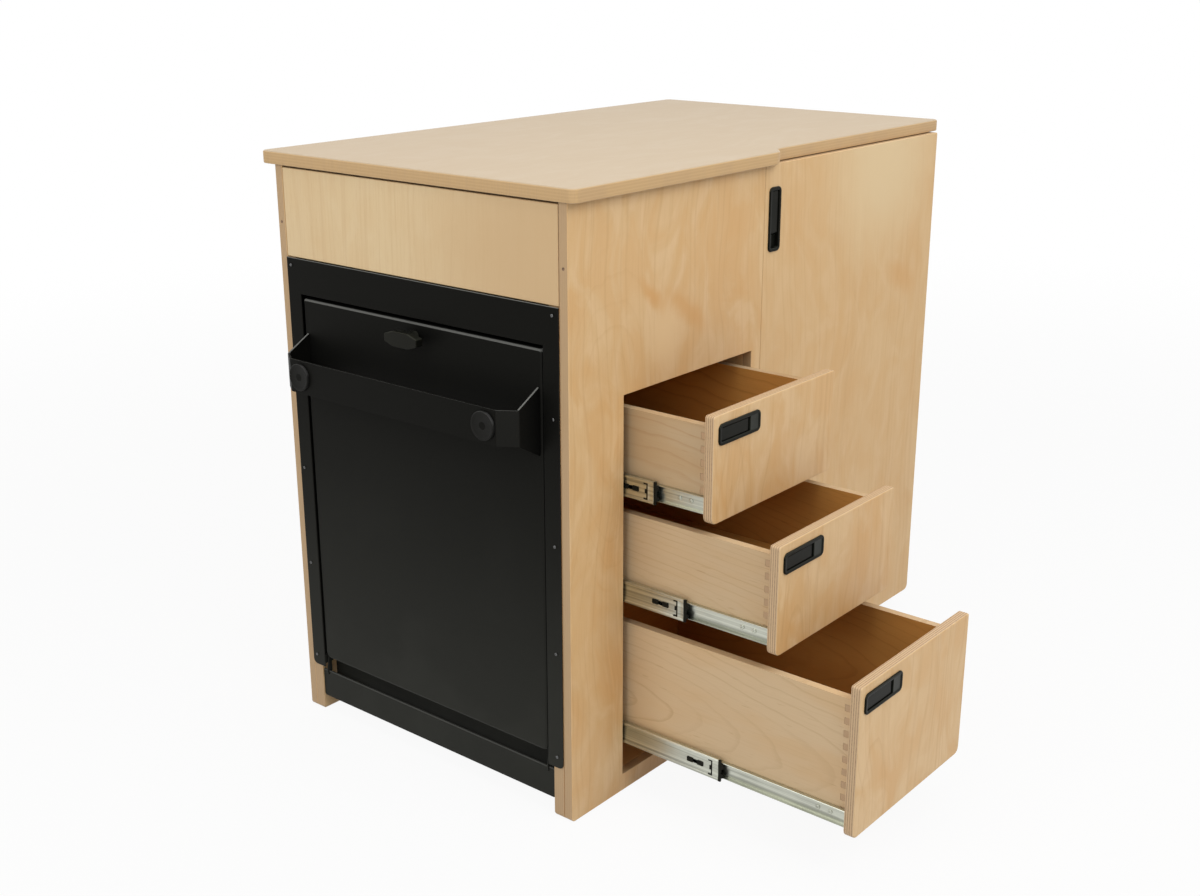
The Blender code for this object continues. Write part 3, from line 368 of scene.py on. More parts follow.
def birch(wire, along, across, seed, tones, rings=PLAIN, lively=1.0):
    """Pale face veneer: soft clouds, fine straight streaks, pores and faint growth lines.

    `lively` is the share of its clouds and mottling. Gives the colour, and the fibres in it.
    """
    light, line, flame = tones
    drift = wire.noise(along * 2.3, across * 5.2, seed) - 0.5
    clouds = wire.noise(along * 3.4 + drift * 2.0, across * 8.5, seed + 37.0, detail=3.0)
    streaks = wire.noise(along * 1.5, across * 150.0 + drift * (20.0 * lively), seed + 11.0,
                         detail=4.0)
    fibres = wire.noise(along * 16.0, across * 900.0, seed + 23.0)
    pores = wire.noise(along * 70.0, across * 1150.0, seed + 53.0, detail=1.0)
    mottle = wire.noise(along * 11.0, across * 23.0 + drift * 4.0, seed + 61.0, detail=4.0,
                        distortion=0.9)
    gleam = tinted(light, 1.05, 1.09, 1.17)
    warm = (clouds.rise(0.42, 0.68) * 0.40 + mottle.rise(0.46, 0.64) * 0.38) * lively
    tone = wire.mix(warm.clamped(), light, flame)
    tone = wire.mix((1.0 - mottle.rise(0.34, 0.50)) * (0.80 * lively), tone, gleam)
    lines = (streaks.rise(0.50, 0.66) * (0.06 + 0.11 * lively) + fibres.rise(0.48, 0.70) * 0.10
             + pores.rise(0.66, 0.74) * 0.14 + growth_lines(wire, along, across, seed, rings))
    return wire.mix(lines.clamped(), tone, line), fibres


def plies(wire, depth, low, thickness, along_edge):
    """Colour of a board's edge, where long and end plies alternate between glue lines."""
    wood = bpy.context.scene.cabinet_wood
    wobble = (wire.noise(along_edge * 14.0, depth * 90.0, 3.0) - 0.5) * 0.10
    level = (depth - low) / thickness * wood.ply_count + wobble
    within = level.fraction()
    even = (level * 0.5).fraction() > 0.5
    glue = (1.0 - (within * (1.0 - within) * 14.0).clamped()) * 0.75
    streak = wire.noise(along_edge * 260.0, depth * 900.0, 7.0).rise(0.42, 0.66)
    end_grain = wire.mix(streak * 0.45, wood.ply_end, wood.glue)
    layer = wire.mix(even, wood.ply_long, end_grain)
    return wire.mix(glue, layer, wood.glue)


def veneer_tones():
    """The face veneer's tone, that of its lines and that of its clouds."""
    wood = bpy.context.scene.cabinet_wood
    return wood.veneer, wood.veneer_line, wood.veneer_flame


def plywood(node, tones=None, edge_tone=None):
    """Lacquered plywood: veneer on a board's two broad faces, plies on all its edges."""
    wood = bpy.context.scene.cabinet_wood
    board = BOARDS[node]
    low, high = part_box(node)
    finish = Finish(f"plywood_{node}", **LACQUER)
    wire, place = finish.wire, finish.place
    thin, grain = AXES[board.thin], AXES[board.grain]
    along, across = place[grain], place[3 - thin - grain]
    face, fibres = birch(wire, along, across, board.seed, tones or veneer_tones(), board.rings,
                         board.lively)
    for index, patch in enumerate(PATCHES.get(node, ())):
        tone = tinted(getattr(wood, patch.veneer), *patch.tint)
        reach = curl(wire, along, across, board.seed + index, patch)
        face = wire.mix(reach * patch.most, face, tone)
    edge = plies(wire, place[thin], low[thin], high[thin] - low[thin],
                 place[0] * 0.7 + place[1] * 0.8 + place[2])
    sanded = wire.mix(fibres.rise(0.45, 0.65) * 0.25, edge_tone or wood.post_edge, wood.ply_end)
    edge = wire.mix(board.plies, sanded, edge)
    broad = abs(finish.normal[thin]).rise(*BROAD_TURN)
    return finish.done(wire.mix(broad, edge, face), 0.40 + fibres * 0.12, fibres, 0.00010)


# A board's thickness and grain axes, the seed of its figure, how plainly its edges show the
# plies, the share of its clouds and mottling, and its rings
Board = namedtuple("Board", "thin grain seed plies lively rings", defaults=(1.0, 0.9, PLAIN))
BOARDS = {
    "front_panel": Board("Y", "Z", 1.0, 0.10, 0.9,
                         Rings(0.0150, 2.5, 0.570, -0.372, 0.040, 0.125, 0.11)),
    "rear_panel": Board("Y", "Z", 2.3, 0.30, 0.6, Rings(0.022, 7.0, 0.30, 0.10, 0.0, 0.26, 0.16)),
    "right_end_panel": Board("X", "Z", 3.7, 0.6, 0.6,
                             Rings(0.020, 6.0, 0.20, 0.15, 0.0, 0.22, 0.16)),
    "front_cheek": Board("Y", "Z", 4.1, 0.12),
    "rear_cheek": Board("Y", "Z", 5.9, 0.12),
    "left_partition": Board("X", "Z", 6.4),
    "right_partition": Board("X", "Z", 7.2),
    "drawer_floor": Board("Z", "X", 9.5),
    "cupboard_floor": Board("Z", "X", 10.6),
    "tall_door": Board("Y", "Z", 1.0, 0.35, 0.55, Rings(0.022, 9.0, 1.60, 0.330, 0.0, 0.19, 0.10)),
    "false_front": Board("X", "Z", 8.8, 0.8, 0.35),
    "worktop": Board("Z", "X", 13.1, 0.16, 0.45, Rings(0.016, 9.0, -1.20, 0.30, 0.0, 0.40, 0.12)),
}

# Patches of curly grain and lighter figure, a painted highlight on the tall door's upper part
# and painted shade on the false front: middle and half size along and across the grain, lean
# in degrees, the veneer they are tinted from and how, and their share
Patch = namedtuple("Patch", "middle size lean veneer tint most")
ORANGE = (0.91, 0.70, 0.46)
PATCHES = {
    "front_panel": (Patch((0.734, -0.287), (0.052, 0.018), 131.0, "veneer", ORANGE, 0.75),
                    Patch((0.700, -0.208), (0.085, 0.024), 124.0, "veneer", ORANGE, 0.60),
                    Patch((0.668, -0.256), (0.070, 0.050), 0.0, "veneer", (1.07, 1.10, 1.16), 1.0)),
    "tall_door": (Patch((0.649, 0.404), (0.080, 0.034), 118.0, "veneer", ORANGE, 0.45),
                  # Painted highlight: the tall door's upper part turned paler
                  Patch((0.850, 0.330), (0.220, 0.230), 0.0, "pale", (1.0, 1.0, 1.0), 0.95)),
    # Painted shade: a darker patch on the false front
    "false_front": (Patch((0.800, -0.070), (0.240, 0.330), 0.0, "pale", (0.84, 0.76, 0.70), 0.90),),
}

# Growth rings on the outer faces of the drawer sides
SIDE_RINGS = {1: Rings(0.0150, 15.0, 1.20, 0.455, 0.0, 0.40, 0.40),
              2: Rings(0.0062, 11.0, 0.90, 0.300, 0.0, 0.40, 0.34),
              3: Rings(0.0125, 5.2, 0.010, 0.148, 0.0, 0.30, 0.32)}

# Painted shade on each drawer's outer sides: the share of the maple's own tone that they
# keep, less on the higher drawers under the worktop
SIDE_SHADE_SHARES = {1: 0.78, 2: 0.90, 3: 0.97}


def maple(name, grain, across, seed, rings, inner, painted_shade_share=1.0):
    """Solid board: nested growth lines, darker end grain and painted shade on its inner face.

    `inner` is the axis and direction of the face in painted shade, and the last argument
    the share of the maple's brightness that the outside keeps under painted shade.
    """
    wood = bpy.context.scene.cabinet_wood
    finish = Finish(name, **LACQUER)
    wire, place, normal = finish.wire, finish.place, finish.normal
    long_axis, wide_axis = AXES[grain], AXES[across]
    along, over, through = place[long_axis], place[wide_axis], place[3 - long_axis - wide_axis]
    fibres = wire.noise(along * 14.0, over * 800.0, through * 800.0)
    clouds = wire.noise(along * 5.0, over * 16.0, seed + 31.0, detail=3.0)
    flecks = wire.noise(along * 34.0, over * 420.0, seed + 41.0, detail=1.0)
    lines = (growth_lines(wire, along, over, seed, rings) + fibres.rise(0.50, 0.72) * 0.12
             + flecks.rise(0.70, 0.76) * 0.32).clamped()
    # Painted shade on the outer sides
    outside = tinted(wood.maple, painted_shade_share)
    warm = tinted(outside, 0.97, 0.88, 0.76)
    body = wire.mix(lines, wire.mix(clouds.rise(0.42, 0.66) * 0.6, outside, warm),
                    wood.maple_line)
    speck = wire.noise(*[part * 900.0 for part in place], detail=1.0)
    end_tone = wire.mix(speck.rise(0.4, 0.65) * 0.4, tinted(outside, 0.90), wood.maple_line)
    tone = wire.mix(abs(normal[long_axis]).rise(*END_TURN) * 0.85, body, end_tone)
    # Painted shade on the face that looks into the drawer
    inner_axis, towards = inner
    facing = (normal[AXES[inner_axis]] * towards).rise(*END_TURN)
    tone = wire.mix(facing, tone, shaded(wire, lines, clouds))
    return finish.done(tone, 0.40 + fibres * 0.10, fibres, 0.00008)


def shaded(wire, lines, clouds):
    """Painted shade of the drawers' insides: the wood turned dark brown over a board's own lines
    and clouds.
    """
    wood = bpy.context.scene.cabinet_wood
    shade = (lines * 1.4 + clouds.rise(0.40, 0.66) * 0.35).clamped()
    return wire.mix(shade, wood.inside, wood.inside_line)


def shaded_bottom(name, seed):
    """Thin board in the drawers' painted inside shade, with long even grain."""
    finish = Finish(name, 0.34, specular=0.42)
    wire = finish.wire
    x, y, _ = finish.place
    fibres = wire.noise(x * 14.0, y * 800.0, seed)
    clouds = wire.noise(x * 4.0, y * 13.0, seed + 31.0, detail=3.0)
    rings = Rings(0.009, 9.0, -0.25, 0.10, 0.0, 0.60, 0.05)
    lines = growth_lines(wire, x, y, seed, rings) + fibres.rise(0.5, 0.7) * 0.12
    return finish.done(shaded(wire, lines, clouds), 0.32 + fibres * 0.12, fibres, 0.00008, 0.4)


def drawer_front(name, node, seed):
    """The veneered front board with the jointed solid board that is glued behind it."""
    wood = bpy.context.scene.cabinet_wood
    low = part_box(node)[0]
    finish = Finish(name, **LACQUER)
    wire = finish.wire
    x, y, z = finish.place
    across, facing, _ = finish.normal
    rings = Rings(0.014, 6.0, low.z - 0.12, low.x + 0.045, 0.0, 0.075, 0.16)
    face, fibres = birch(wire, z, x, seed, veneer_tones(), rings)
    board = wire.mix(abs(facing).rise(*BROAD_TURN), plies(wire, y, low.y, PLY, x * 0.8 + z), face)
    lines = growth_lines(wire, x, z, seed, SIDE_RINGS[2])
    clouds = wire.noise(x * 5.0, z * 16.0, seed, detail=3.0)
    ends = wire.mix(abs(across).rise(*END_TURN) * 0.9,
                    wire.mix(lines, wood.maple, wood.maple_line), wood.ply_end)
    # Painted shade on the face that looks into the drawer
    inner = wire.mix(facing.rise(*END_TURN), ends, shaded(wire, lines, clouds))
    behind = y > low.y + PLY - GLUE_LINE
    return finish.done(wire.mix(behind, board, inner), 0.40 + fibres * 0.12, fibres, 0.00010)


# Metal and plastic finishes

# Painted reflection: tint of the gloss on the black pieces, warm as from the wood they stand among
WARM_GLOSS = (1.0, 0.96, 0.76)


def powder_coat(name, seed):
    """Black coat baked on sheet steel, with its fine orange peel, a painted highlight on its upper
    rounded edges and a painted reflection of the floor that lightens it towards the bottom.
    """
    metal = bpy.context.scene.cabinet_metal
    rough = metal.powder_roughness
    finish = Finish(name, rough, specular=0.06, gloss=WARM_GLOSS)
    wire = finish.wire
    x, y, z = finish.place
    wear_and_sheen = wire.noise(x * 5.0, y * 5.0 + seed, z * 5.0, detail=4.0)
    peel = wire.noise(x * 900.0, y * 900.0, z * 900.0, detail=1.0)
    # Painted reflection of the white floor: the coat lightens towards the bottom, varied by the
    # noise that also varies its gloss
    floor_reflection_share = (1.0 - z.rise(0.02, 0.60)) * (0.75 + wear_and_sheen.rise(0.40, 0.65) * 0.25)
    # Painted highlight on the upper rounded edges, fainter near the floor
    edge_highlight_share = painted_edge_highlight(finish) * (0.35 + z.rise(0.10, 0.60) * 0.65)
    tone = wire.mix(edge_highlight_share, wire.mix(floor_reflection_share, metal.powder, metal.floor_reflection), metal.edge_highlight)
    return finish.done(tone, rough - 0.05 + wear_and_sheen * 0.12 + peel * 0.04, peel, 0.00005)


def painted_edge_highlight(finish):
    """Painted highlight: 1 on rounded edges that look up or outwards, as lamps above would light
    them; 0 on flat faces.
    """
    x, y, z = finish.normal
    flat = abs(x).larger(abs(y)).larger(abs(z))
    return (1.0 - flat.rise(0.90, 0.995)) * z.rise(-0.05, 0.35)


def zinc_plate(name, seed):
    """Plated steel, rolled along its length into brighter and duller bands."""
    metal = bpy.context.scene.cabinet_metal
    rough = metal.zinc_roughness
    finish = Finish(name, rough, metallic=1.0)
    wire = finish.wire
    x, y, z = finish.place
    rolled = wire.noise(x * 2400.0, y * 22.0, z * 2400.0 + seed)
    cloud = wire.noise(x * 40.0, y * 14.0, z * 40.0 + seed, detail=3.0)
    bands = wire.noise(x * 120.0, y * 1.5, z * 330.0 + seed)
    dull = tinted(metal.zinc, 0.62)
    tone = wire.mix(cloud.rise(0.42, 0.62) * 0.4, metal.zinc, dull)
    tone = wire.mix(bands.rise(0.50, 0.62) * 0.75, tone, tinted(metal.zinc, 1.25))
    tone = wire.mix((1.0 - bands.rise(0.36, 0.46)) * 0.80, tone, dull)
    return finish.done(tone, rough - 0.06 + rolled * 0.12 + cloud * 0.10, rolled, 0.00003, 0.4)


def moulded(name, tone, roughness, spark_size=0.0007, specular=0.11):
    """Moulded plastic or rubber with a fine spark texture and a painted highlight on its upper
    rounded edges.
    """
    finish = Finish(name, roughness, specular=specular, gloss=WARM_GLOSS)
    wire = finish.wire
    spark = wire.noise(*[part * (1.0 / spark_size) for part in finish.place], detail=1.0)
    cloud = wire.noise(*[part * 30.0 for part in finish.place])
    body = wire.mix(cloud.rise(0.4, 0.65) * 0.5, tone, tinted(tone, 1.6))
    # Painted highlight on the upper rounded edges
    body = wire.mix(painted_edge_highlight(finish) * 0.8, body, tinted(tone, 5.0))
    return finish.done(body, roughness - 0.04 + spark * 0.08, spark, 0.00003)


def screw_steel(name):
    """Blackened steel with fine turning marks."""
    steel = bpy.context.scene.cabinet_metal.screw
    finish = Finish(name, 0.30, metallic=1.0)
    wire = finish.wire
    turned = wire.noise(*[part * 1200.0 for part in finish.place])
    tone = wire.mix(turned.rise(0.4, 0.6), steel, tinted(steel, 0.5))
    return finish.done(tone, 0.26 + turned * 0.12)


def putty(name):
    """Brown filler with darker and lighter specks."""
    wood = bpy.context.scene.cabinet_wood
    finish = Finish(name, 0.5)
    wire = finish.wire
    speck = wire.noise(*[part * 700.0 for part in finish.place])
    return finish.done(wire.mix(speck.rise(0.35, 0.6), wood.putty, wood.glue))


# Modelling by operators


def only(obj):
    """Deselect everything, then select one object and make it the active one."""
    bpy.ops.object.select_all(action="DESELECT")
    obj.select_set(True)
    bpy.context.view_layer.objects.active = obj


def edit(obj):
    """Open a shape in edit mode with nothing selected."""
    only(obj)
    bpy.ops.object.mode_set(mode="EDIT")
    bpy.ops.mesh.select_all(action="DESELECT")


def leave():
    """Back to object mode."""
    bpy.ops.object.mode_set(mode="OBJECT")


def pick(kind, test):
    """Select, of the mesh in edit mode, what passes a test.

    A face is tested by its middle and normal, an edge by its two ends, a vertex by its place.
    """
    bpy.ops.mesh.select_mode(type=kind)
    bpy.ops.mesh.select_all(action="DESELECT")
    mesh = bpy.context.edit_object.data
    shape = bmesh.from_edit_mesh(mesh)
    if kind == "FACE":
        for face in shape.faces:
            face.select_set(test(face.calc_center_median(), face.normal))
    elif kind == "EDGE":
        for edge in shape.edges:
            edge.select_set(test(edge.verts[0].co, edge.verts[1].co))
    else:
        for vert in shape.verts:
            vert.select_set(test(vert.co))
    shape.select_flush_mode()
    bmesh.update_edit_mesh(mesh)


def looks(axis, towards, also=lambda middle: True):
    """A test for faces that look one way along an axis, and whose middle passes another test."""
    return lambda middle, normal: normal[AXES[axis]] * towards > FACING and also(middle)


def runs(axis, also=lambda end: True):
    """A test for edges that run along an axis, and whose one end passes another test."""
    return lambda a, b: (b - a).length - abs((b - a)[AXES[axis]]) < SAME and also(a)


def before(axis, limit):
    """A test for edges that lie wholly before a limit on an axis."""
    return lambda a, b: max(a[AXES[axis]], b[AXES[axis]]) < limit


def bevel(width, segments):
    """Round the picked edges."""
    bpy.ops.mesh.bevel(offset=width, segments=segments, profile=0.5, affect="EDGES",
                       clamp_overlap=True)


def step_in(*steps):
    """Inset the picked faces step by step, each with its width and its rise."""
    for width, rise in steps:
        bpy.ops.mesh.inset(thickness=width, depth=rise)


def extrude(*way):
    """Push the picked faces out along a way, with walls behind them."""
    bpy.ops.mesh.extrude_region_move(TRANSFORM_OT_translate={"value": way})


def cut_at(*heights):
    """Cut the whole shape across at each height."""
    for height in heights:
        bpy.ops.mesh.select_all(action="SELECT")
        bpy.ops.mesh.bisect(plane_co=(0, 0, height), plane_no=(0, 0, 1))


def new_block(name, low, high):
    """A cube stretched to two corners, with its place in its mesh."""
    low, high = Vector(low), Vector(high)
    bpy.ops.mesh.primitive_cube_add(size=1.0, location=(low + high) / 2, scale=high - low)
    return settle(name)


def new_disc(name, middle, radius, depth, sides):
    """A round disc that faces the X axis, with its place in its mesh."""
    bpy.ops.mesh.primitive_cylinder_add(vertices=sides, radius=radius, depth=depth,
                                        location=middle, rotation=(0, math.pi / 2, 0))
    return settle(name)


def settle(name):
    """Apply the new primitive's place, and name it."""
    obj = bpy.context.active_object
    only(obj)
    bpy.ops.object.transform_apply(location=True, rotation=True, scale=True)
    obj.name = obj.data.name = name
    return obj


def soften(obj, angle=SMOOTH_ANGLE):
    """Leave edit mode, and shade smooth with flat faces kept flat as on a machined edge."""
    leave()
    only(obj)
    bpy.ops.object.shade_smooth_by_angle(angle=math.radians(angle))
    modifier = obj.modifiers.new("flat_faces", "WEIGHTED_NORMAL")
    modifier.keep_sharp = True
    modifier.weight = 80
    bpy.ops.object.modifier_apply(modifier=modifier.name)
    return obj


def dress(obj, material, body, slot, *replaced):
    """Give a finished piece its material and body; its record slot is not used."""
    obj.data.materials.clear()
    obj.data.materials.append(material)
    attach(obj, body)
    if replaced:
        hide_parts(*replaced)


def fine_copy(node, name, width, bend=0.0):
    """A merged copy of a solid whose sharp edges are eased by `width`.

    `bend` is the radius of the folds round a sheet's front face, away from the latch knob.
    """
    obj = NODES[node].copy()
    obj.data = NODES[node].data.copy()
    obj.parent = None
    for key in list(obj.keys()):
        del obj[key]
    obj.name = obj.data.name = name
    bpy.context.scene.collection.objects.link(obj)
    edit(obj)
    bpy.ops.mesh.select_mode(type="EDGE")
    bpy.ops.mesh.select_all(action="SELECT")
    bpy.ops.mesh.remove_doubles(threshold=MERGE)
    bpy.ops.mesh.dissolve_limited(angle_limit=math.radians(FLAT_ANGLE))
    bpy.ops.mesh.normals_make_consistent(inside=False)
    if bend:
        at_front = before("X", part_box(node)[0].x + MERGE)
        knob = sum(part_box("latch_knob"), Vector()) / 2
        pick("EDGE", lambda a, b: at_front(a, b) and (a - knob).length > KNOB_CLEAR)
        bevel(bend, 4)
    if width:
        bpy.ops.mesh.select_all(action="DESELECT")
        bpy.ops.mesh.edges_select_sharp(sharpness=math.radians(SHARP_ANGLE))
        bevel(width, 2)
    return soften(obj)


def paint(node, material):
    """A carried-over solid keeps its shape and takes a better material."""
    slots = NODES[node].material_slots
    if slots:
        slots[0].material = material
    else:
        NODES[node].data.materials.append(material)


def copy_to(source, name, place):
    """A copy with its own mesh, moved to its place; a mirrored one keeps its faces outwards."""
    piece = source.copy()
    piece.data = source.data.copy()
    piece.name = piece.data.name = name
    bpy.context.scene.collection.objects.link(piece)
    piece.data.transform(place)
    if place.determinant() < 0:
        piece.data.flip_normals()
    return piece


# Operators, one for each piece or group of like pieces


class CABINET_OT_boards(bpy.types.Operator):
    """Finish the carcass boards and the tall door in lacquered plywood"""
    bl_idname = "cabinet.boards"
    bl_label = "Boards"

    def execute(self, context):
        wood = context.scene.cabinet_wood
        pale = (wood.pale, wood.veneer_line, wood.veneer)
        for node in BOARDS:
            if node != "worktop":
                paint(node, plywood(node, pale if node == "false_front" else None))
        return {"FINISHED"}


class CABINET_OT_worktop(bpy.types.Operator):
    """Smooth the shading of the worktop's rounded, stepping front edge and finish it"""
    bl_idname = "cabinet.worktop"
    bl_label = "Worktop"

    def execute(self, context):
        wood = context.scene.cabinet_wood
        tones = (wood.top, wood.top_line, [(a + b) / 2 for a, b in zip(wood.top, wood.top_line)])
        top = fine_copy("worktop", "worktop_slab", 0.0)
        material = plywood("worktop", tones, wood.top_edge)
        dress(top, material, "cabinet", "worktop_ply", "worktop")
        return {"FINISHED"}


class CABINET_OT_drawers(bpy.types.Operator):
    """Finish the drawer fronts, sides, backs and bottoms"""
    bl_idname = "cabinet.drawers"
    bl_label = "Drawers"

    def execute(self, context):
        for number in DRAWERS:
            name = f"drawer_{number}"
            paint(f"{name}_front", drawer_front(f"{name}_veneer", f"{name}_front", number * 3.3))
            for side, towards, seed in (("left", 1.0, 1.7), ("right", -1.0, 2.9)):
                paint(f"{name}_side_{side}",
                      maple(f"{name}_maple_{side}", "Y", "Z", number * seed,
                            SIDE_RINGS[number], ("X", towards), SIDE_SHADE_SHARES[number]))
            paint(f"{name}_back", maple(f"{name}_maple_back", "X", "Z", number * 4.3,
                                        SIDE_RINGS[2], ("Y", -1.0)))
            paint(f"{name}_bottom", shaded_bottom(f"{name}_stained", number * 5.1))
        return {"FINISHED"}


class CABINET_OT_shower_end(bpy.types.Operator):
    """Round the edges of the sheet metal shower end and powder coat it"""
    bl_idname = "cabinet.shower_end"
    bl_label = "Shower end"

    def execute(self, context):
        # Solid, new name, body, width of its eased edges and radius of its front folds
        pieces = (("shower_case", "case_shell", "cabinet", 0.0004, 0.0012),
                  ("kick_bar", "kick_bar_sheet", "cabinet", 0.0003, 0.0),
                  ("shower_door", "fold_down_pan", "shower_flap", 0.0004, 0.0026),
                  ("shower_rail", "carrying_rail", "shower_flap", 0.0004, 0.0))
        for index, (node, name, body, width, bend) in enumerate(pieces):
            piece = fine_copy(node, name, width, bend)
            if node == "shower_rail":
                sink_pad_seats(piece)
            dress(piece, powder_coat(f"powder_{name}", index * 3.0), body, "black_steel", node)
        return {"FINISHED"}


def sink_pad_seats(rail):
    """Lower the rail's two plain pads, so that the rubber pads cover them."""
    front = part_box("shower_rail")[0].x
    edit(rail)
    pick("VERT", lambda co: co.x < front + PAD_SEAT)
    bpy.ops.transform.translate(value=(PAD_SEAT, 0, 0))
    leave()


class CABINET_OT_rail_pads(bpy.types.Operator):
    """Model the two round rubber foot pads on the rail, each with its raised rim and dimple"""
    bl_idname = "cabinet.rail_pads"
    bl_label = "Rail pads"

    def execute(self, context):
        metal = context.scene.cabinet_metal
        rubber = moulded("rubber_pads", context.scene.cabinet_plastic.rubber, 0.55, 0.0009)
        low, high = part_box("shower_rail")
        middle_z = (low.z + high.z) / 2
        for side, inset in zip(SIDES, PAD_PLACES):
            pad = new_disc(f"foot_pad_{side}", (low.x + PAD_DEPTH / 2, CORNER.y + inset, middle_z),
                           metal.pad_radius, PAD_DEPTH, 56)
            edit(pad)
            pick("EDGE", before("X", low.x + PAD_DEPTH / 4))
            bevel(PAD_EDGE, 3)
            pick("FACE", looks("X", -1))
            step_in(*PAD_STEPS)
            dress(soften(pad, MOULDED_ANGLE), rubber, "shower_flap", "black_plastic")
        return {"FINISHED"}


class CABINET_OT_latch_knob(bpy.types.Operator):
    """Smooth the turn knob of the shower door"""
    bl_idname = "cabinet.latch_knob"
    bl_label = "Latch knob"

    def execute(self, context):
        knob = fine_copy("latch_knob", "turn_knob", 0.0)
        plastic = moulded("plastic_knob", context.scene.cabinet_plastic.black, 0.34)
        dress(knob, plastic, "knob", "black_plastic", "latch_knob")
        return {"FINISHED"}


class CABINET_OT_fixings(bpy.types.Operator):
    """Model the flange screws and the filled plugs of the shower end"""
    bl_idname = "cabinet.fixings"
    bl_label = "Fixings"

    def execute(self, context):
        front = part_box("shower_case")[0].x
        steel = screw_steel("screw_steel")
        screw = model_flange_screw(context.scene.cabinet_metal)
        for side, inset in zip(SIDES, (SCREW_INSET, BODY_DEPTH - SCREW_INSET)):
            for index, height in enumerate(SCREW_HEIGHTS):
                piece = copy_to(screw, f"flange_screw_{side}_{index + 1}",
                                Matrix.Translation((front, CORNER.y + inset, height)))
                dress(piece, steel, "cabinet", "black_steel")
        bpy.data.objects.remove(screw)
        filler = putty("plug_filler")
        for side, inset in zip(SIDES, (PLY / 2, BODY_DEPTH - PLY / 2)):
            plug = new_disc(f"plug_{side}", (CORNER.x, CORNER.y + inset, PLUG_HEIGHT),
                            PLUG_RADIUS, PLUG_DEPTH, 24)
            edit(plug)
            pick("FACE", looks("X", -1))
            step_in((PLUG_RADIUS * 0.3, 0.0))
            dress(soften(plug), filler, "cabinet", "birch_ply")
        return {"FINISHED"}


def model_flange_screw(metal):
    """Low round head with a socket, its middle at the origin."""
    radius = metal.screw_radius
    screw = new_disc("flange_screw", (0, 0, 0), radius, 2 * metal.screw_rise, 28)
    edit(screw)
    pick("FACE", looks("X", -1))
    step_in((radius * 0.35, 0.0))
    bpy.ops.transform.translate(value=(-SCREW_CROWN, 0, 0))
    step_in((radius * 0.25, 0.0), SCREW_SOCKET)
    return soften(screw, MOULDED_ANGLE)


class CABINET_OT_pulls(bpy.types.Operator):
    """Model one flush pull with its dish, finger slot and push button, and copy it"""
    bl_idname = "cabinet.pulls"
    bl_label = "Flush pulls"

    def execute(self, context):
        plastic = context.scene.cabinet_plastic
        black = moulded("plastic_bezel", plastic.black, 0.30, specular=0.07)
        grey = moulded("plastic_button", plastic.button, 0.30, specular=0.14)
        bezel = model_bezel()
        button = model_button()
        # A quarter turn that stands the pull on end, its button at the foot
        upright = Matrix(((0, 0, 1, 0), (0, 1, 0, 0), (-1, 0, 0, 0), (0, 0, 0, 1)))
        for name in ("1", "2", "3", "door"):
            low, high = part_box(f"pull_{name}_bezel")
            if name == "door":
                turn = Matrix.Translation((low.x, low.y, high.z)) @ upright
                # The door's button takes the black plastic as painted shade of its deep recess; the
                # drawers' buttons keep the grey
                body, press, button_tone_and_shade = "cupboard_door", "door_button", black
            else:
                turn = Matrix.Translation(low)
                body, press, button_tone_and_shade = f"drawer_{name}", f"button_{name}", grey
            piece = copy_to(bezel, f"flush_pull_{name}_bezel", turn)
            dress(piece, black, body, "black_plastic", f"pull_{name}_bezel")
            piece = copy_to(button, f"flush_pull_{name}_button", turn)
            seat_button(piece, f"pull_{name}_button")
            dress(piece, button_tone_and_shade, press, "button_grey", f"pull_{name}_button")
        bpy.data.objects.remove(bezel)
        bpy.data.objects.remove(button)
        return {"FINISHED"}


def model_bezel():
    """Rim 96 by 30 mm on a cup; front at y 0, lower left corner at the origin."""
    long, wide, proud = PULL_SIZE
    corner, edge, sunk = 0.0075, 0.0012, 0.003
    rim, slope, wall = (0.0028, 0.0), (0.0010, -0.0008), (0.0001, -0.0027)
    groove, raised, flange = (0.0012, 0.0), (0.0004, 0.0014), (0.0027, 0.0)
    slot_depth, cup_depth = 0.0090, 0.0118
    bezel = new_block("bezel", (0, 0, 0), (long, proud, wide))
    edit(bezel)
    pick("EDGE", runs("Y"))
    bevel(corner, 8)
    pick("EDGE", before("Y", SAME))
    bevel(edge, 4)
    pick("FACE", looks("Y", -1))
    step_in(rim, slope, wall)
    pick("FACE", looks("Y", -1, lambda middle: middle.y > sunk))
    bpy.ops.mesh.bisect(plane_co=(PULL_DISH_END, 0, 0), plane_no=(1, 0, 0))
    pick("FACE", looks("Y", -1, lambda middle: middle.y > sunk and middle.x > PULL_DISH_END))
    extrude(0, slot_depth, 0)
    pick("FACE", looks("Y", -1, lambda middle: sunk < middle.y < 2 * sunk
                       and middle.x < PULL_DISH_END))
    step_in(groove, raised)
    pick("FACE", looks("Y", 1, lambda middle: middle.y < proud + SAME))
    step_in(flange)
    extrude(0, cup_depth, 0)
    return soften(bezel, MOULDED_ANGLE)


def model_button():
    """The rounded push button at its place in the bezel, its face just under the rim."""
    long, wide, _ = PULL_SIZE
    margin, face, back = 0.0043, 0.0009, 0.0054
    corner, edge, rim, dip = 0.0028, 0.0008, (0.0010, 0.0), (0.0004, -0.0002)
    button = new_block("button", (PULL_BUTTON_START, face, margin),
                       (long - margin, back, wide - margin))
    edit(button)
    pick("EDGE", runs("Y", lambda end: end.x > long - 2 * margin))
    bevel(corner, 6)
    pick("EDGE", before("Y", face + SAME))
    bevel(edge, 3)
    pick("FACE", looks("Y", -1))
    step_in(rim, dip)
    return soften(button, MOULDED_ANGLE)


def seat_button(piece, node):
    """Set the button's face where its solid's face is."""
    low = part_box(node)[0]
    gap = low.y - min(vert.co.y for vert in piece.data.vertices)
    piece.data.transform(Matrix.Translation((0, gap, 0)))


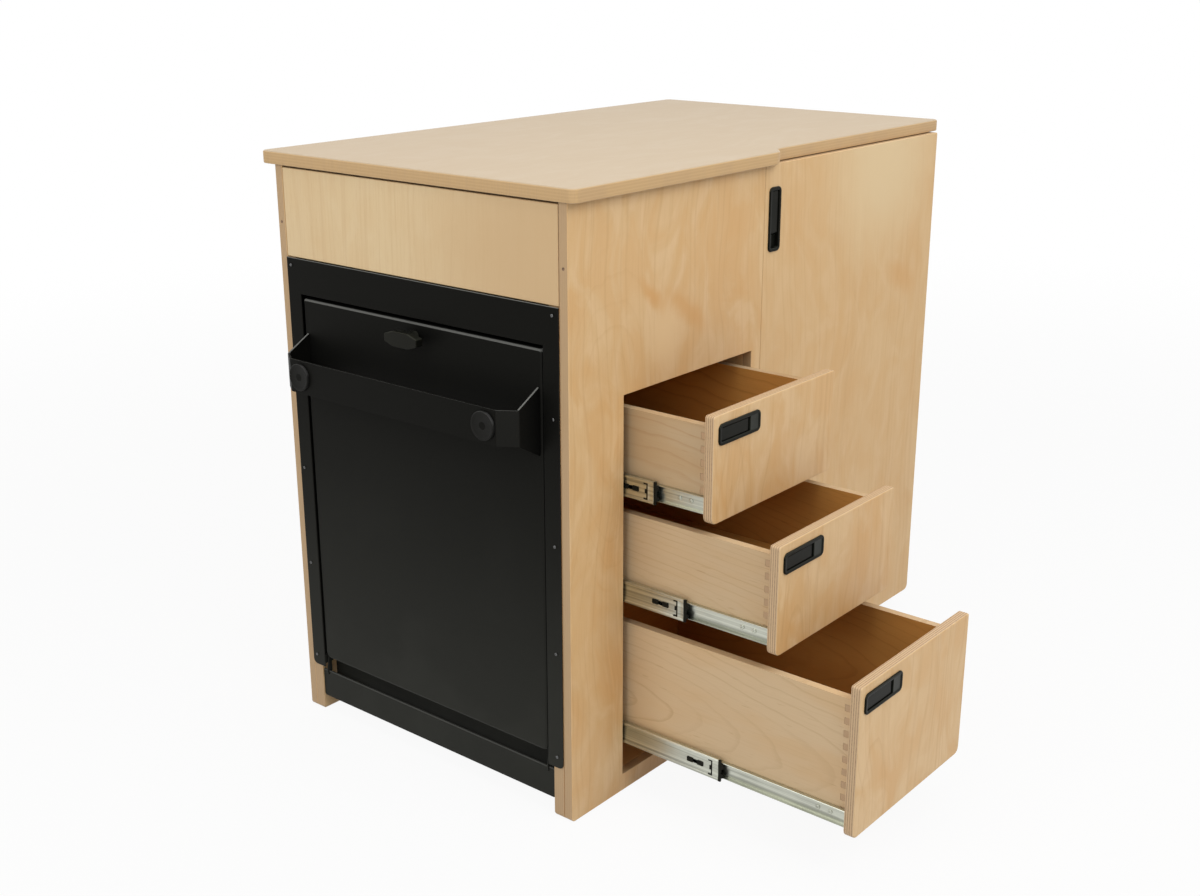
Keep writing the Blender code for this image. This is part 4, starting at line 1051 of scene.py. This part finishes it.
class CABINET_OT_runners(bpy.types.Operator):
    """Smooth the members of the six runners and add their catches, end plates and screws"""
    bl_idname = "cabinet.runners"
    bl_label = "Runners"

    def execute(self, context):
        black = moulded("plastic_catch", context.scene.cabinet_plastic.black, 0.42)
        catch, bracket, insert = model_catch(), model_bracket(), model_insert()
        end_plate, screw = model_end_plate(), model_runner_screw()
        for number in DRAWERS:
            for side in SIDES:
                name = f"runner_{number}_{side}"
                zinc = zinc_plate(f"zinc_{name}", number * 2.0 + len(side))
                bodies = {"outer": "cabinet", "middle": name, "inner": f"drawer_{number}"}
                for member, body in bodies.items():
                    node = f"{name}_{member}"
                    piece = fine_copy(node, f"{node}_steel", 0.0)
                    if member == "middle":
                        cut_bumper(piece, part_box(node)[0].y + BUMPER_END)
                    dress(piece, zinc, body, "zinc_steel", node)
                place = runner_place(f"{name}_middle", side, MIDDLE_WEB_DEPTH)
                for source, material, slot, offset in (
                        (catch, black, "black_plastic", 0.0),
                        (end_plate, zinc, "zinc_steel", 0.0),
                        (bracket, black, "black_plastic", 0.0),
                        (insert, black, "black_plastic", 0.0),
                        (insert, black, "black_plastic", INSERT_STEP)):
                    piece = copy_to(source, f"{name}_{source.name}_{round(offset * 1000)}",
                                    place @ Matrix.Translation((0, offset, 0)))
                    dress(piece, material, name, slot)
                low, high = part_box(f"{name}_inner")
                place = runner_place(f"{name}_inner", side, high.x - low.x - STEEL)
                for index, offset in enumerate(RUNNER_SCREWS):
                    piece = copy_to(screw, f"{name}_screw_{index + 1}",
                                    place @ Matrix.Translation((0, offset, 0)))
                    dress(piece, zinc, f"drawer_{number}", "zinc_steel")
        for source in (catch, bracket, insert, end_plate, screw):
            bpy.data.objects.remove(source)
        return {"FINISHED"}


def runner_place(node, side, depth):
    """Put a model made for the left wall on a web that lies `depth` inside a member's box."""
    low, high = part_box(node)
    wall = low.x + depth if side == "left" else high.x - depth
    mirror = Matrix.Identity(4) if side == "left" else Matrix.Scale(-1, 4, (1, 0, 0))
    return Matrix.Translation((wall, low.y, (low.z + high.z) / 2)) @ mirror


def cut_bumper(steel, front):
    """Take the plain bumper off the middle member; the catch takes its place."""
    edit(steel)
    bpy.ops.mesh.select_all(action="SELECT")
    bpy.ops.mesh.bisect(plane_co=(0, front, 0), plane_no=(0, 1, 0), clear_inner=True,
                        use_fill=True)
    soften(steel)


# Small parts of a runner, modelled for the left wall: x 0 is the outer face of the middle
# member's web, y 0 its front end and z 0 its middle


def model_catch():
    """Black catch over the member's front end: an upright bar with two prongs to the front."""
    front, half, inner, outer = 0.0036, 0.0164, 0.0040, 0.0110
    reach, taper, edge = 0.0034, (0.75, 1.0, 0.92), 0.0005
    catch = new_block("catch", (-0.0010, front, -half), (0.0020, 0.0074, half))
    edit(catch)
    cut_at(-outer, -inner, inner, outer)
    pick("FACE", looks("Y", -1, lambda middle: inner < abs(middle.z) < outer))
    extrude(0, -reach, 0)
    bpy.ops.transform.resize(value=taper)
    pick("EDGE", runs("Z", lambda end: end.x < 0 and end.y > front - SAME))
    bevel(edge, 2)
    return soften(catch, MOULDED_ANGLE)


def model_end_plate():
    """Bright end of the ball cage, a pressed plate with a dimple in its middle."""
    half, corner, rim, dimple = 0.0150, 0.0016, (0.0014, 0.0), (0.0006, -0.0004)
    plate = new_block("end_plate", (-0.0011, 0.0076, -half), (0.0, 0.0172, half))
    edit(plate)
    pick("FACE", looks("X", -1))
    step_in(rim, dimple)
    pick("EDGE", runs("X", lambda end: abs(end.z) > half - SAME))
    bevel(corner, 3)
    return soften(plate, MOULDED_ANGLE)


def model_bracket():
    """Black bracket behind the end plate, like an E with its three arms to the back."""
    half, end_arm, middle_arm = 0.0150, 0.0100, 0.0030
    end_reach, middle_reach = 0.0050, 0.0028
    bracket = new_block("bracket", (-0.0009, 0.0176, -half), (0.0, 0.0196, half))
    edit(bracket)
    cut_at(-end_arm, -middle_arm, middle_arm, end_arm)
    pick("FACE", looks("Y", 1, lambda middle: abs(middle.z) > end_arm))
    extrude(0, end_reach, 0)
    pick("FACE", looks("Y", 1, lambda middle: abs(middle.z) < middle_arm))
    extrude(0, middle_reach, 0)
    return soften(bracket, MOULDED_ANGLE)


def model_insert():
    """Black clip pressed into the web behind the bracket."""
    thick, half, end = 0.0008, 0.0036, INSERT_START + 0.0105
    corner, rim, dip = 0.0012, (0.0011, 0.0), (0.0003, -0.0004)
    insert = new_block("insert", (-thick, INSERT_START, -half), (0.0, end, half))
    edit(insert)
    pick("EDGE", runs("X"))
    bevel(corner, 3)
    pick("FACE", looks("X", -1))
    step_in(rim, dip)
    return soften(insert, MOULDED_ANGLE)


def model_runner_screw():
    """Low pan head on the drawer member's web, which lies at x 0."""
    radius, height, edge = 0.0034, 0.0024, 0.0007
    rim, socket = (0.0014, 0.0), (0.0001, -0.0007)
    screw = new_disc("runner_screw", (0, 0, 0), radius, height, 28)
    edit(screw)
    pick("EDGE", before("X", -height / 4))
    bevel(edge, 3)
    pick("FACE", looks("X", -1))
    step_in(rim, socket)
    return soften(screw, MOULDED_ANGLE)


class CABINET_OT_hinge(bpy.types.Operator):
    """Smooth the two leaves of the piano hinge"""
    bl_idname = "cabinet.hinge"
    bl_label = "Piano hinge"

    def execute(self, context):
        zinc = zinc_plate("zinc_hinge", 9.0)
        for leaf, body in (("door", "cupboard_door"), ("frame", "cabinet")):
            piece = fine_copy(f"hinge_leaf_{leaf}", f"piano_hinge_{leaf}", 0.0)
            dress(piece, zinc, body, "zinc_steel", f"hinge_leaf_{leaf}")
        return {"FINISHED"}


# Each lamp's name, place, size in metres and power in watts
LAMPS = (
    ("overhead_softbox", (0.0, 0.0, 3.4), (3.2, 3.2), 39.0),
    ("front_softbox", (-0.2, -2.6, 2.9), (2.4, 2.0), 61.0),
    ("left_softbox", (-3.1, 0.2, 2.3), (2.4, 2.2), 43.0),
)
LAMP_AIM = (0.0, 0.1, 0.4)
SENSOR = 36.0

# The floor's radius, its level, the radii between which it turns white, and how white it is
# to the camera before that
FLOOR_RADIUS = 7.0
FLOOR_LEVEL = -0.0006
FLOOR_FADE = (FLOOR_RADIUS * 0.20, FLOOR_RADIUS * 0.60)
FLOOR_WHITE = 0.93


class CABINET_OT_studio(bpy.types.Operator):
    """Set up the camera, the soft lights, the white surround and the pale floor"""
    bl_idname = "cabinet.studio"
    bl_label = "Studio"

    def execute(self, context):
        studio = context.scene.cabinet_studio
        make_camera(context, studio)
        make_world(context, studio)
        make_floor(context)
        for name, place, size, power in LAMPS:
            lamp = bpy.data.lights.new(name, "AREA")
            lamp.shape = "RECTANGLE"
            lamp.size, lamp.size_y = size
            lamp.energy = power
            obj = bpy.data.objects.new(name, lamp)
            obj.location = place
            aim = Vector(LAMP_AIM) - Vector(place)
            obj.rotation_euler = aim.to_track_quat("-Z", "Y").to_euler()
            context.scene.collection.objects.link(obj)
        context.scene.view_settings.view_transform = "Standard"
        return {"FINISHED"}


def make_camera(context, studio):
    """The camera at the place and angle of the photograph's."""
    data = bpy.data.cameras.new("photo_camera")
    data.sensor_fit = "HORIZONTAL"
    data.sensor_width = SENSOR
    data.lens = studio.lens
    data.clip_start = 0.05
    camera = bpy.data.objects.new("photo_camera", data)
    turn = (Matrix.Rotation(-studio.yaw, 4, "Z")
            @ Matrix.Rotation(math.pi / 2 + studio.pitch, 4, "X")
            @ Matrix.Rotation(studio.roll, 4, "Z"))
    camera.matrix_world = Matrix.Translation(CORNER + Vector(studio.place)) @ turn
    context.scene.collection.objects.link(camera)
    context.scene.camera = camera


def seen_by(wire, *rays):
    """1 for these kinds of ray and 0 for the others."""
    return sum(wire.add("LightPath", output=f"Is {ray} Ray") for ray in rays).clamped()


def make_world(context, studio):
    """White where the camera, a gloss or a clear surface looks out, and softer as a light."""
    world = bpy.data.worlds.new("white_surround")
    world.use_nodes = True
    context.scene.world = world
    tree = world.node_tree
    seen = seen_by(Wire(tree), "Camera", "Glossy", "Transmission")
    level = studio.ambient + seen * (1.0 - studio.ambient)
    background = tree.nodes["Background"]
    background.inputs["Color"].default_value = (1.0, 1.0, 1.0, 1.0)
    tree.links.new(level.socket, background.inputs["Strength"])


def make_floor(context):
    """A pale round floor that fades into the white surround."""
    bpy.ops.mesh.primitive_circle_add(vertices=96, radius=FLOOR_RADIUS, fill_type="NGON",
                                      location=(0, 0, FLOOR_LEVEL))
    floor = settle("studio_floor")
    edit(floor)
    bpy.ops.mesh.select_all(action="SELECT")
    step_in((FLOOR_RADIUS * 0.4, 0.0), (FLOOR_RADIUS * 0.3, 0.0))
    leave()
    finish = Finish("floor_paper", 0.9, specular=0.0)
    wire = finish.wire
    x, y, _ = finish.place
    mottle = wire.noise(x * 60.0, y * 60.0, 1.0)
    finish.done(wire.mix(mottle, (0.64, 0.64, 0.63), (0.68, 0.68, 0.67)))
    paper = Wire(finish.tree, finish.shader.outputs[0])
    white = wire.add("Emission", None, {"Color": (1.0, 1.0, 1.0, 1.0), "Strength": 1.0})
    edge = x.span(y).rise(*FLOOR_FADE)
    glow = seen_by(wire, "Camera", "Glossy") * (FLOOR_WHITE + edge * (1.0 - FLOOR_WHITE))
    both = wire.add("MixShader", None, {0: glow, 1: paper, 2: white})
    output = finish.tree.nodes["Material Output"]
    finish.tree.links.new(both.socket, output.inputs["Surface"])
    floor.data.materials.append(finish.material)


class CABINET_PT_panel(bpy.types.Panel):
    """Steps and settings of the cabinet's looks"""
    bl_idname = "CABINET_PT_panel"
    bl_label = "Shower and kitchen cabinet"
    bl_space_type = "VIEW_3D"
    bl_region_type = "UI"
    bl_category = "Cabinet"

    def draw(self, context):
        layout = self.layout
        for step in STEPS:
            layout.operator(step.bl_idname)
        for name, group in SETTING_GROUPS.items():
            box = layout.box()
            box.label(text=name.capitalize())
            for setting in group.__annotations__:
                box.prop(getattr(context.scene, f"cabinet_{name}"), setting)


STEPS = (CABINET_OT_boards, CABINET_OT_worktop, CABINET_OT_drawers, CABINET_OT_shower_end,
         CABINET_OT_rail_pads, CABINET_OT_latch_knob, CABINET_OT_fixings, CABINET_OT_pulls,
         CABINET_OT_runners, CABINET_OT_hinge, CABINET_OT_studio)


def register():
    for name, group in SETTING_GROUPS.items():
        bpy.utils.register_class(group)
        setattr(bpy.types.Scene, f"cabinet_{name}", PointerProperty(type=group))
    for step in STEPS:
        bpy.utils.register_class(step)
    bpy.utils.register_class(CABINET_PT_panel)


def unregister():
    bpy.utils.unregister_class(CABINET_PT_panel)
    for step in reversed(STEPS):
        bpy.utils.unregister_class(step)
    for name, group in SETTING_GROUPS.items():
        delattr(bpy.types.Scene, f"cabinet_{name}")
        bpy.utils.unregister_class(group)


def main():
    register()
    bpy.ops.cabinet.boards()
    bpy.ops.cabinet.worktop()
    bpy.ops.cabinet.drawers()
    bpy.ops.cabinet.shower_end()
    bpy.ops.cabinet.rail_pads()
    bpy.ops.cabinet.latch_knob()
    bpy.ops.cabinet.fixings()
    bpy.ops.cabinet.pulls()
    bpy.ops.cabinet.runners()
    bpy.ops.cabinet.hinge()
    bpy.ops.cabinet.studio()


if __name__ == "__main__":
    main()
